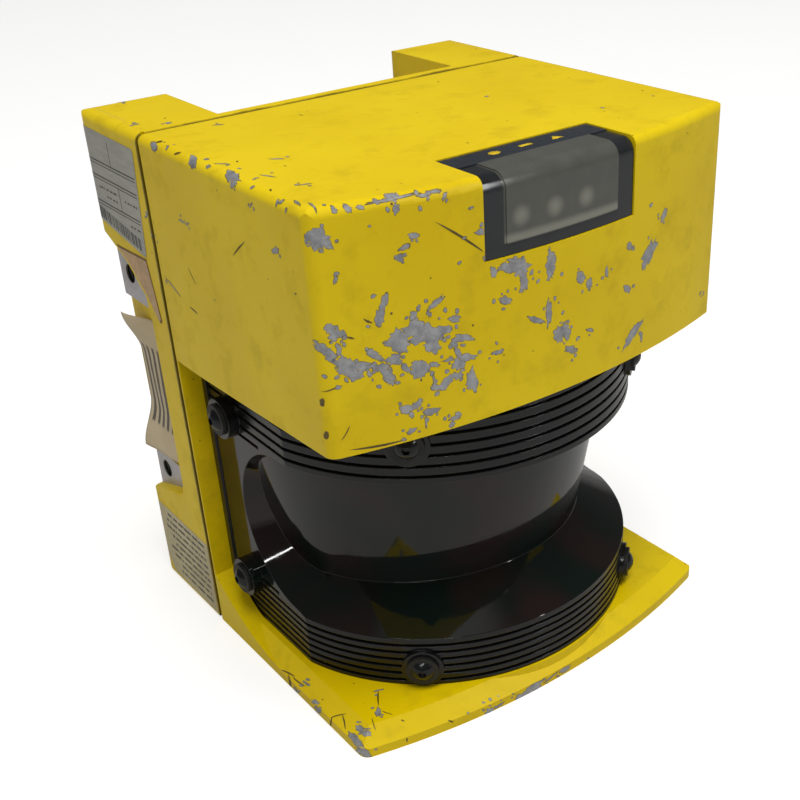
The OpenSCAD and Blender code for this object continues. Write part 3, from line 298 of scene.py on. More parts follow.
def yellow_enamel():
    made, tree = blank_material("yellow_enamel")
    place = millimetres(tree)
    broad = node(tree, "TexNoise", {"Scale": 1 / 55, "Detail": 3.0}, {"Vector": place})
    cloud = node(tree, "MapRange", {"From Min": 0.35, "From Max": 0.65}, {"Value": broad})
    base = node(tree, "Mix",
                {"data_type": "RGBA", 6: colour("DFBF00"), 7: colour("E8CA06")}, {0: cloud})
    grease = node(tree, "TexNoise", {"Scale": 1 / 13, "Detail": 6.0, "Roughness": 0.65},
                  {"Vector": place})
    film = node(tree, "MapRange",
                {"From Min": 0.52, "From Max": 0.78, "To Min": 0.0, "To Max": 0.42},
                {"Value": grease})
    soiled = node(tree, "Mix", {"data_type": "RGBA", 7: colour("A98D10")},
                  {0: film, 6: base.outputs[2]})
    # small dark specks of grit that stick in the paint, 1 mm and less
    grit = node(tree, "TexVoronoi", {"Scale": 1 / 9, "Randomness": 1.0}, {"Vector": place})
    speck = node(tree, "MapRange",
                 {"From Min": 0.03, "From Max": 0.05, "To Min": 0.65, "To Max": 0.0},
                 {"Value": grit.outputs["Distance"]})
    dotted = node(tree, "Mix", {"data_type": "RGBA", 7: colour("6A5614")},
                  {0: speck, 6: soiled.outputs[2]})
    # old grime that has crept out of the seam between the castings, with painted shade of the seam's
    # groove: the enamel is darkened near the seam
    axes = node(tree, "SeparateXYZ", links={0: place})
    from_seam = node(tree, "Math", {"operation": "SUBTRACT", 1: seam_middle}, {0: axes.outputs[1]})
    apart = node(tree, "Math", {"operation": "ABSOLUTE"}, {0: from_seam})
    crept = node(tree, "Math", {"operation": "MULTIPLY_ADD", 1: -seam_darkening_creep},
                 {0: grease, 2: apart})
    seam_grime_and_shade = node(tree, "MapRange",
                     {"From Min": -0.1, "From Max": 0.75, "To Min": 0.85, "To Max": 0.0},
                     {"Value": crept})
    grimy_and_shaded = node(tree, "Mix", {"data_type": "RGBA", 7: colour("4E3E10")},
                 {0: seam_grime_and_shade, 6: dotted.outputs[2]})
    # bare machined pads
    aside = node(tree, "Math", {"operation": "ABSOLUTE"}, {0: axes})
    level = node(tree, "Math", {"operation": "COMPARE", 1: pad_x, 2: 0.05}, {0: aside})
    behind = node(tree, "Math", {"operation": "GREATER_THAN", 1: pad_from_y}, {0: axes.outputs[1]})
    pad = node(tree, "Math", {"operation": "MULTIPLY"}, {0: level, 1: behind})
    sawn = node(tree, "TexNoise", {"Scale": 1 / 1.5, "Detail": 4.0}, {"Vector": place})
    metal = node(tree, "Mix",
                 {"data_type": "RGBA", 6: colour("A7A2A4"), 7: colour("CFC9CC")}, {0: sawn})
    whole = node(tree, "Mix", {"data_type": "RGBA"},
                 {0: pad, 6: grimy_and_shaded.outputs[2], 7: metal.outputs[2]})
    bare = node(tree, "Math", {"operation": "MULTIPLY", 1: 0.55}, {0: pad})
    shine = node(tree, "MapRange",
                 {"From Min": 0.3, "From Max": 0.75, "To Min": 0.33, "To Max": 0.5},
                 {"Value": grease})
    peel = node(tree, "TexNoise", {"Scale": 1 / 2.4, "Detail": 2.0}, {"Vector": place})
    return coat(made, tree, peel, 0.03, {"IOR": 1.5, "Specular IOR Level": 0.22},
                {"Base Color": whole.outputs[2], "Roughness": shine, "Metallic": bare})


enamel = yellow_enamel()
print("enamel has", len(enamel.node_tree.nodes), "nodes")

# %% [markdown]
# ## Smoke-tinted polycarbonate
# The optics cover is moulded in one piece of polycarbonate, dyed so dark that only infrared passes.
# To the eye it is a black mirror where the tool was polished, which is the window, the two skirts
# and the side panels, and a satin black on the ribbed bands, where hands have rubbed it. The window
# keeps a faint brown and green cast. Polycarbonate bends light more than most plastics, with an
# index of 1.585. The specular level was then matched and lies under its default.

# %% Mix the cover's plastic
cover_low, cover_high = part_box("optics_cover")
pocket_low_mm, pocket_high_mm = 28.2, 88.8


def smoke_polycarbonate():
    made, tree = blank_material("smoke_polycarbonate")
    place = millimetres(tree)
    axes = node(tree, "SeparateXYZ", links={0: place})
    middle = node(tree, "Math",
                  {"operation": "SUBTRACT", 1: (pocket_low_mm + pocket_high_mm) / 2},
                  {0: axes.outputs[2]})
    away = node(tree, "Math", {"operation": "ABSOLUTE"}, {0: middle})
    half = (pocket_high_mm - pocket_low_mm) / 2
    band_edge = 0.6
    ribbed = node(tree, "MapRange", {"From Min": half, "From Max": half + band_edge},
                  {"Value": away})
    cast = node(tree, "TexNoise", {"Scale": 1 / 26, "Detail": 1.0}, {"Vector": place})
    hue = node(tree, "MapRange", {"From Min": 0.4, "From Max": 0.6}, {"Value": cast})
    tint = node(tree, "Mix",
                {"data_type": "RGBA", 6: colour("1E1512"), 7: colour("0C1511")}, {0: hue})
    dye = node(tree, "Mix", {"data_type": "RGBA", 7: colour("0E0F10")},
               {0: ribbed, 6: tint.outputs[2]})
    haze = node(tree, "TexNoise", {"Scale": 1 / 7, "Detail": 5.0, "Roughness": 0.7},
                {"Vector": place})
    polish = node(tree, "MapRange",
                  {"From Min": 0.35, "From Max": 0.75, "To Min": 0.035, "To Max": 0.10},
                  {"Value": haze})
    rubbed = node(tree, "MapRange",
                  {"From Min": 0.3, "From Max": 0.7, "To Min": 0.16, "To Max": 0.28},
                  {"Value": haze})
    shine = node(tree, "Mix", {"data_type": "FLOAT"}, {0: ribbed, 2: polish, 3: rubbed})
    flow = node(tree, "TexNoise", {"Scale": 1 / 9, "Detail": 1.0}, {"Vector": place})
    # a moulded edge is never sharp: this rounds every edge by half a millimetre for the light
    rounding = node(tree, "Bevel", {"Radius": 0.5 * MM, "samples": 6})
    return coat(made, tree, flow, 0.02, {"IOR": 1.585, "Specular IOR Level": 0.34},
                {"Base Color": dye.outputs[2], "Roughness": shine}, rounding)


smoke = smoke_polycarbonate()
print("cover stands from z", round(cover_low[2] / MM, 1), "to", round(cover_high[2] / MM, 1), "mm")

# %% [markdown]
# ## The display: smoke lens over three lamps
# The lens in the hood's corner is smoke acrylic with a clear raised window in a printed dark
# surround. Behind the window three status lamps wait, and even unlit their white bodies shine
# through as soft pale spots. Along its lower edge a pale band is painted into the window's colour,
# a painted reflection of the room. The spots are painted by distance from each lamp's own place,
# read from the solids.

# %% Mix the display lens
lens_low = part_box("display_lens")[0]
lamp_low, lamp_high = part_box("status_leds")
lamp_z = (lamp_low[2] + lamp_high[2]) / 2 / MM
lamp_centre_x = (lamp_low[0] + lamp_high[0]) / 2 / MM
lamp_half_body = 2.5
lamp_step = (lamp_high[0] - lamp_low[0]) / MM / 2 - lamp_half_body
window_half_width = 21.2
window_foot = lens_low[2] / MM + 3.4
lamp_xs = [lamp_centre_x + step * lamp_step for step in (-1, 0, 1)]


def display_acrylic():
    made, tree = blank_material("smoke_acrylic_display")
    place = millimetres(tree)
    axes = node(tree, "SeparateXYZ", links={0: place})
    aside = node(tree, "Math", {"operation": "ABSOLUTE"}, {0: axes})
    inside = node(tree, "MapRange",
                  {"From Min": window_half_width, "From Max": window_half_width + 0.7,
                   "To Min": 1.0, "To Max": 0.0},
                  {"Value": aside})
    above = node(tree, "MapRange", {"From Min": window_foot, "From Max": window_foot + 0.5},
                 {"Value": axes.outputs[2]})
    pane = node(tree, "Math", {"operation": "MULTIPLY"}, {0: inside, 1: above})
    cloud = node(tree, "TexNoise", {"Scale": 1 / 6, "Detail": 4.0}, {"Vector": place})
    surround = node(tree, "Mix",
                    {"data_type": "RGBA", 6: colour("1A1B1D"), 7: colour("2B2D30")},
                    {0: cloud})
    window = node(tree, "Mix",
                  {"data_type": "RGBA", 6: colour("4B4B46"), 7: colour("5B5B54")},
                  {0: cloud})
    # painted reflection: the window's foot is lightened towards pale grey, standing in for the room
    # mirrored there
    foot = node(tree, "MapRange",
                {"From Min": window_foot + 1.2, "From Max": window_foot + 3.6,
                 "To Min": 0.75, "To Max": 0.0, "interpolation_type": "SMOOTHSTEP"},
                {"Value": axes.outputs[2]})
    with_painted_reflection = node(tree, "Mix", {"data_type": "RGBA", 7: colour("8C8C7E")},
                  {0: foot, 6: window.outputs[2]})
    spots = None
    for x in lamp_xs:
        off = node(tree, "VectorMath", {"operation": "SUBTRACT", 1: (x, 0, lamp_z)}, {0: place})
        flat = node(tree, "VectorMath", {"operation": "MULTIPLY", 1: (1, 0, 1)}, {0: off})
        away = node(tree, "VectorMath", {"operation": "LENGTH"}, {0: flat})
        halo = node(tree, "MapRange",
                    {"From Min": 0.3, "From Max": 4.2, "To Min": 0.40, "To Max": 0.0,
                     "interpolation_type": "SMOOTHSTEP"}, {"Value": away.outputs["Value"]})
        if spots is None:
            spots = halo
        else:
            spots = node(tree, "Math", {"operation": "MAXIMUM"}, {0: spots, 1: halo})
    lit = node(tree, "Mix", {"data_type": "RGBA", 7: colour("A9A898")},
               {0: spots, 6: with_painted_reflection.outputs[2]})
    whole = node(tree, "Mix", {"data_type": "RGBA"},
                 {0: pane, 6: surround.outputs[2], 7: lit.outputs[2]})
    shine = node(tree, "MapRange",
                 {"From Min": 0.3, "From Max": 0.7, "To Min": 0.08, "To Max": 0.2},
                 {"Value": cloud})
    rubs = node(tree, "TexNoise", {"Scale": 1 / 3, "Detail": 3.0}, {"Vector": place})
    return coat(made, tree, rubs, 0.015, {"IOR": 1.49},
                {"Base Color": whole.outputs[2], "Roughness": shine})


print("status lamps at x", [round(x, 1) for x in lamp_xs], "and z", round(lamp_z, 1), "mm")

# %% [markdown]
# ## Threaded steel
# The inserts are turned steel bushes. Their threads lie inside the bores as rings with a pitch of
# 1.25 mm, the coarse pitch of an M8 thread, so a wave along the bore's direction lifts the wall
# there and nowhere else. A metal keeps the default index of refraction.

# %% Mix the inserts' steel
insert_low, insert_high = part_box("thread_inserts")
bore_y = (insert_low[1] + insert_high[1]) / 2 / MM
bore_z = (insert_low[2] + insert_high[2]) / 2 / MM
flange_radius = 6.1
bore_half_pitch = (insert_high[2] - insert_low[2]) / 2 / MM - flange_radius
bore_reach = 3.46
thread_pitch = 1.25
turning_pitch = 0.9


def threaded_steel():
    made, tree = blank_material("turned_insert_steel")
    place = millimetres(tree)
    axes = node(tree, "SeparateXYZ", links={0: place})
    level = node(tree, "Math", {"operation": "SUBTRACT", 1: bore_z}, {0: axes.outputs[2]})
    folded = node(tree, "Math", {"operation": "ABSOLUTE"}, {0: level})
    height = node(tree, "Math", {"operation": "SUBTRACT", 1: bore_half_pitch}, {0: folded})
    depth = node(tree, "Math", {"operation": "SUBTRACT", 1: bore_y}, {0: axes.outputs[1]})
    flat = node(tree, "CombineXYZ", links={0: depth, 1: height})
    radius = node(tree, "VectorMath", {"operation": "LENGTH"}, {0: flat})
    in_bore = node(tree, "Math", {"operation": "LESS_THAN", 1: bore_reach},
                   {0: radius.outputs["Value"]})
    angle = node(tree, "Math", {"operation": "MULTIPLY", 1: 2 * math.pi / thread_pitch}, {0: axes})
    wave = node(tree, "Math", {"operation": "SINE"}, {0: angle})
    thread = node(tree, "Math", {"operation": "MULTIPLY"}, {0: wave, 1: in_bore})
    rings = node(tree, "Math", {"operation": "MULTIPLY", 1: 2 * math.pi / turning_pitch},
                 {0: radius.outputs["Value"]})
    turned = node(tree, "Math", {"operation": "SINE"}, {0: rings})
    marks = node(tree, "Math", {"operation": "MULTIPLY_ADD", 1: 0.06}, {0: turned, 2: thread})
    cloud = node(tree, "TexNoise", {"Scale": 1 / 2.5, "Detail": 4.0}, {"Vector": place})
    steel = node(tree, "Mix",
                 {"data_type": "RGBA", 6: colour("A19E9B"), 7: colour("C6C3C0")}, {0: cloud})
    # painted shade inside the bores: the steel there is darkened nearly to black
    painted_bore_shade = node(tree, "Math", {"operation": "MULTIPLY", 1: 0.85}, {0: in_bore})
    dark = node(tree, "Mix", {"data_type": "RGBA", 7: colour("262220")},
                {0: painted_bore_shade, 6: steel.outputs[2]})
    shine = node(tree, "MapRange", {"To Min": 0.3, "To Max": 0.5}, {"Value": cloud})
    return coat(made, tree, marks, 0.35, {"Metallic": 0.85},
                {"Base Color": dark.outputs[2], "Roughness": shine})


print("bores at y", round(bore_y, 1), "and z", round(bore_z - bore_half_pitch, 1),
      "and", round(bore_z + bore_half_pitch, 1), "mm")

# %% [markdown]
# ## A circuit board
# Glass-fibre laminate with a green solder mask. Copper tracks under the mask show as slightly paler,
# raised lines on a square raster; a brick pattern gives those, with cells of a few millimetres.

# %% Mix the board
def circuit_board():
    made, tree = blank_material("solder_masked_laminate")
    place = millimetres(tree)
    tracks = node(tree, "TexBrick",
                  {"Scale": 1.0, "Mortar Size": 0.25, "Brick Width": 3.8, "Row Height": 2.54,
                   "Color1": colour("12502A"), "Color2": colour("0E4424"), "Mortar": colour("2A7240")},
                  {"Vector": place})
    weave = node(tree, "TexNoise", {"Scale": 1 / 1.2, "Detail": 2.0}, {"Vector": place})
    shine = node(tree, "MapRange", {"To Min": 0.25, "To Max": 0.45}, {"Value": weave})
    return coat(made, tree, tracks.outputs["Fac"], 0.04, {"IOR": 1.5},
                {"Base Color": tracks.outputs["Color"], "Roughness": shine})


print("board raster is 2.54 mm, as on any through-hole board")

# %% [markdown]
# ## A finish for every slot
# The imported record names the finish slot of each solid. Here each slot gets what its part is really
# made of: moulded rubber is deep black and dull, zinc plate is a cool grey with a slight haze, black
# oxide is a soft black that shines on the rubbed head, cast aluminium is pale and sandy, an
# injection-moulded black plastic has a fine spark-eroded grain. Grain that is finer than half a
# millimetre in reality is drawn at 0.8 mm or more, so that it shows.

# %% Fill the slots
finishes = {
    "yellow_paint": enamel,
    "smoke_cover": smoke,
    "display_plastic": display_acrylic(),
    "insert_steel": threaded_steel(),
    "circuit_board": circuit_board(),
    "black_rubber": finish("moulded_rubber", "0E0E0E", "1B1B1A", (0.5, 0.7), 1.2, 0.04, ior=1.52),
    "zinc_steel": finish("zinc_plated_steel", "8E9092", "B4B6B8", (0.28, 0.42), 1.0, 0.02, 1.0),
    "black_oxide_steel": finish("black_oxide_steel", "111213", "1E1F21", (0.12, 0.26), 1.0, 0.01,
                                0.3),
    "display_strip_film": finish("printed_display_film", "23272D", "31363D", (0.18, 0.32), 2.0,
                                 0.01, ior=1.5),
    "led_plastic": finish("lamp_body_epoxy", "C9C7BC", "DDDBD2", (0.1, 0.2), 1.5, 0.01, ior=1.54),
    "cast_aluminium": finish("sand_cast_aluminium", "8D8F91", "A9ABAD", (0.4, 0.55), 1.1, 0.06, 0.9),
    "black_plastic": finish("spark_grained_plastic", "121213", "1D1D1F", (0.4, 0.55), 0.8, 0.03,
                            ior=1.53),
    "winding_core": finish("enamelled_copper_winding", "7A3A18", "A0562A", (0.25, 0.4), 0.8, 0.15,
                           0.8, (0.1, 0.1, 1)),
    "mirror_glass": finish("silvered_mirror", "D4D8DA", "E2E6E8", (0.01, 0.03), 5.0, 0.0005, 1.0),
    "encoder_metal": finish("etched_encoder_steel", "85878A", "A6A8AB", (0.2, 0.3), 0.9, 0.01, 1.0),
    "lens_glass": finish("coated_lens_glass", "39464C", "46555C", (0.02, 0.05), 4.0, 0.002, ior=1.52),
    "laser_brass": finish("turned_brass", "A5803C", "C49C50", (0.22, 0.34), 0.8, 0.02, 1.0,
                          (0.2, 0.2, 1)),
    "connector_metal": finish("tinned_plug_shell", "8F8E88", "B5B4AD", (0.25, 0.38), 1.0, 0.02, 1.0),
}
slot_of = {part["node"]: part["material_slot"] for part in frame["record"]["subparts"]}
for name, solid in frame["nodes"].items():
    solid.data.materials.clear()
    solid.data.materials.append(finishes[slot_of[name]])
print(len(finishes), "finishes on", len(frame["nodes"]), "solids")

# %% [markdown]
# ## Laying thin things on the castings
# Chips in the paint, scratches and labels all follow the surface they are on, also round an edge. A
# search tree over the castings' faces answers where a straight line first meets the metal, so each
# small sheet is drawn flat, sent along a line and laid where it lands, a few hundredths of a
# millimetre proud. That is much lighter than a picture mapped on the casting, and it stays sharp.

# %% Search trees over the castings
def casting_tree(*names):
    """One search tree over the faces of some solids."""
    corners = []
    faces = []
    for name in names:
        mesh = frame["nodes"][name].data
        start = len(corners)
        corners += [v.co.copy() for v in mesh.vertices]
        faces += [[start + i for i in face.vertices] for face in mesh.polygons]
    return BVHTree.FromPolygons(corners, faces)


both_castings = casting_tree("front_housing", "rear_housing")
rear_casting = casting_tree("rear_housing")


def land(tree, origin, direction, lift):
    """Where a line from origin lands on the castings, lifted off by some metres, or None."""
    place, normal, _, _ = tree.ray_cast(origin, direction)
    if place is None:
        return None
    if normal.dot(direction) > 0:
        normal = -normal
    return place + normal * lift


def add_object(name, bm, material, body="scanner"):
    """Turn a bmesh into a piece that rides on a body."""
    mesh = bpy.data.meshes.new(name)
    bm.to_mesh(mesh)
    bm.free()
    made = bpy.data.objects.new(name, mesh)
    bpy.context.collection.objects.link(made)
    mesh.materials.append(material)
    for face in mesh.polygons:
        face.use_smooth = True
    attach(made, body)
    return made


test = land(both_castings, Vector((0, -0.2, 0.15)), Vector((0, 1, 0)), 0)
print("the hood's front is met at y", round(test.y / MM, 2), "mm")

# %% [markdown]
# ## Chipped paint
# Knocks have broken the enamel off in flakes and left the casting bare: a dull, light grey metal.
# Along the broken edge of the paint a dark line is painted, the painted shade that the paint's
# thickness would cast there. A flake is never round, so its outline is an ellipse disturbed by a
# handful of waves of random phase. Each flake stores how far a point lies from the edge, and the
# finish uses that for the painted shade line.

# %% Mix the bare metal and the scratch
def bare_metal():
    made, tree = blank_material("bare_die_cast_metal")
    place = millimetres(tree)
    rim = node(tree, "Attribute", {"attribute_name": "depth"})
    wander = node(tree, "TexNoise", {"Scale": 1 / 0.7, "Detail": 3.0}, {"Vector": place})
    edge = node(tree, "Math", {"operation": "MULTIPLY_ADD", 1: 0.30, 2: -0.12}, {0: wander})
    past_shade_line = node(tree, "Math", {"operation": "SUBTRACT"}, {0: rim.outputs["Fac"], 1: edge})
    clear = node(tree, "MapRange", {"From Min": 0.0, "From Max": 0.16}, {"Value": past_shade_line})
    cloud = node(tree, "TexNoise", {"Scale": 1 / 3.5, "Detail": 5.0, "Roughness": 0.7},
                 {"Vector": place})
    patch = node(tree, "MapRange", {"From Min": 0.35, "From Max": 0.62}, {"Value": cloud})
    metal = node(tree, "Mix",
                 {"data_type": "RGBA", 6: colour("86868A"), 7: colour("ADADAE")}, {0: patch})
    # painted shade along the broken edge of the paint: the flake's rim takes the dark colour
    whole = node(tree, "Mix", {"data_type": "RGBA", 6: colour("6B5A1E")},
                 {0: clear, 7: metal.outputs[2]})
    shine = node(tree, "MapRange", {"To Min": 0.4, "To Max": 0.6}, {"Value": cloud})
    return coat(made, tree, cloud, 0.06, {"Metallic": 0.35},
                {"Base Color": whole.outputs[2], "Roughness": shine})


bare = bare_metal()
scratch = finish("dirty_scratch", "4A3A10", "7A6420", (0.5, 0.7), 0.8, 0.03, ior=1.5)
print("bare metal and scratch are mixed")

# %% [markdown]
# A flake is cast as rings of corners around its middle, so that it bends with the metal under it. A
# corner whose line misses the casting is drawn in towards the middle until it lands, and a flake
# that would span from one part of the casting to another, further back, is left out. The first ring
# lies closer to the paint than the others, which keeps the rim thin. Overlapping flakes get slightly
# different heights, so that no two sheets share one plane.

# %% Flakes of bare metal
RINGS = (1.0, 0.82, 0.62, 0.4, 0.2)
RIM_LIFT, FLAKE_LIFT = 0.02, 0.05
LIFT_STEP, LIFT_STEPS = 0.0006, 60
SCRATCH_HALF_WIDTH = 0.36


def ragged_outline(half_long, half_short, dice):
    """Corners around (0, 0) in mm: an ellipse disturbed by waves and broken by sharp nicks."""
    steps = 12 if half_long < 0.9 else 26 if half_long < 3 else 44
    rough = 0.10 if half_long < 0.9 else 0.20
    waves = [(n, dice.uniform(0.4, 1.0) * rough / n ** 0.4, dice.uniform(0, 2 * math.pi))
             for n in (2, 3, 5, 7, 11)]
    corners = []
    for i in range(steps):
        angle = 2 * math.pi * i / steps
        reach = 1 + sum(size * math.sin(n * angle + phase) for n, size, phase in waves)
        if dice.random() < 0.3:
            reach *= dice.uniform(0.66, 1.32)
        reach = max(reach, 0.35)
        corners.append((half_long * reach * math.cos(angle), half_short * reach * math.sin(angle)))
    return corners


def splinters(flakes, dice):
    """Specks that broke off around the larger flakes."""
    made = []
    for u, v, half_long, half_short, turn in flakes:
        if half_long < 1.2 or half_short < SCRATCH_HALF_WIDTH:
            continue
        for _ in range(dice.randint(1, 2 + int(half_long))):
            angle = dice.uniform(0, 2 * math.pi)
            away = half_long * dice.uniform(0.9, 1.5) + 0.3
            size = dice.uniform(0.22, 0.6)
            made.append((u + away * math.cos(angle), v + away * math.sin(angle) * 0.8,
                         size * 1.5, size * dice.uniform(0.6, 0.9) + 0.2, dice.uniform(-90, 90)))
    return made


def tapered_outline(half_long, half_short, dice):
    """A scratch: a slightly bent stroke that runs out to a point at both ends."""
    steps = 9
    bend = dice.uniform(-0.12, 0.12) * half_long
    upper = []
    lower = []
    for i in range(steps):
        along = -1 + 2 * i / (steps - 1)
        middle = bend * (1 - along * along)
        width = half_short * (max(1 - along * along, 0.0) ** 0.5) * dice.uniform(0.75, 1.15) + 0.02
        upper.append((half_long * along, middle + width))
        lower.append((half_long * along, middle - width))
    return upper + lower[::-1]


def lay_flake(bm, layer, tree, aim, flake, number, dice, outline=ragged_outline):
    """Lay one flake: aim(u, v) gives the origin and direction of the line that casts a corner."""
    u, v, half_long, half_short, turn = flake
    c = math.cos(math.radians(turn))
    s = math.sin(math.radians(turn))
    lift = (FLAKE_LIFT + LIFT_STEP * (number % LIFT_STEPS)) * MM

    def cast(x, y, height):
        for shrink in (1.0, 0.85, 0.7, 0.5, 0.3, 0.1, 0.0):
            origin, direction = aim(u + (x * c - y * s) * shrink, v + (x * s + y * c) * shrink)
            place = land(tree, origin, direction, height)
            if place is not None:
                return place
        return None

    corners = outline(half_long, half_short, dice)
    middle_place = cast(0, 0, lift)
    if middle_place is None:
        return 0
    furthest = (half_long * 2.6 + 1.0) * MM
    rings = []
    for share in RINGS:
        height = RIM_LIFT * MM if share == 1.0 else lift
        ring = [cast(x * share, y * share, height) for x, y in corners]
        if any(place is None or (place - middle_place).length > furthest for place in ring):
            return 0
        rings.append(ring)
    loops = []
    for share, ring in zip(RINGS, rings):
        loop = [bm.verts.new(place) for place in ring]
        for corner in loop:
            corner[layer] = (1 - share) * half_short
        loops.append(loop)
    middle = bm.verts.new(middle_place)
    middle[layer] = half_short
    count = len(corners)
    for outer, inner in zip(loops, loops[1:]):
        for i in range(count):
            bm.faces.new((outer[i], outer[(i + 1) % count], inner[(i + 1) % count], inner[i]))
    for i in range(count):
        bm.faces.new((loops[-1][i], loops[-1][(i + 1) % count], middle))
    return 1


def lay_wear(name, flakes, tree, aim, seed):
    """Lay the flakes and scratches of one face, as one piece for each of the two finishes."""
    dice = random.Random(seed)
    flakes = flakes + splinters(flakes, dice)
    laid = 0
    for part, outline, material, chosen in (
            ("chips", ragged_outline, bare, [f for f in flakes if f[3] >= SCRATCH_HALF_WIDTH]),
            ("scratches", tapered_outline, scratch,
             [f for f in flakes if f[3] < SCRATCH_HALF_WIDTH])):
        if not chosen:
            continue
        bm = bmesh.new()
        layer = bm.verts.layers.float.new("depth")
        for number, flake in enumerate(chosen):
            laid += lay_flake(bm, layer, tree, aim, flake, number, dice, outline)
        piece = add_object(name + "_" + part, bm, material)
    print(name, ":", laid, "of", len(flakes), "marks are laid")


# each line starts outside the scanner and runs straight at it
def from_front(x, z):
    return Vector((x * MM, -0.1, z * MM)), Vector((0, 1, 0))


def from_left(y, z):
    return Vector((-0.1, y * MM, z * MM)), Vector((1, 0, 0))


def from_right(y, z):
    return Vector((0.1, y * MM, z * MM)), Vector((-1, 0, 0))


def from_above(x, y):
    return Vector((x * MM, y * MM, 0.2)), Vector((0, 0, -1))


def from_rear(x, z):
    return Vector((x * MM, 0.12, z * MM)), Vector((0, -1, 0))


print("rings of a flake:", RINGS)

# %% [markdown]
# The base's front edge has taken most of the knocks, both on its flat top and on the rounding below
# it. Those marks are aimed along the line from the standpoint, through points of a level that lies
# halfway up the rounding: in this way flakes of the top and of the rounding meet without a gap.

# %% The aim for marks on the base's edge
def from_standpoint(x, y):
    target = Vector((x * MM, y * MM, 7.5 * MM))
    direction = (target - standpoint).normalized()
    return target - direction * 0.15, direction


print("the base's edge is seen from", [round(value, 3) for value in standpoint])

# %% [markdown]
# Every mark below is (u, v, half length, half width, turn in degrees), in millimetres. The left part
# of the hood's front has suffered most, where a passing load has struck it again and again; its two
# long edges and the base's nose show rows of small knocks. Marks with a half width under
# SCRATCH_HALF_WIDTH are scratches that have filled with dirt. The four lists follow no rule that a
# loop could take up: they trace the wear of one real scanner, and a separate program, which isn't
# part of this lesson, turned that tracing into millimetres. To make such wear from a seed instead,
# the next step shows strewn().

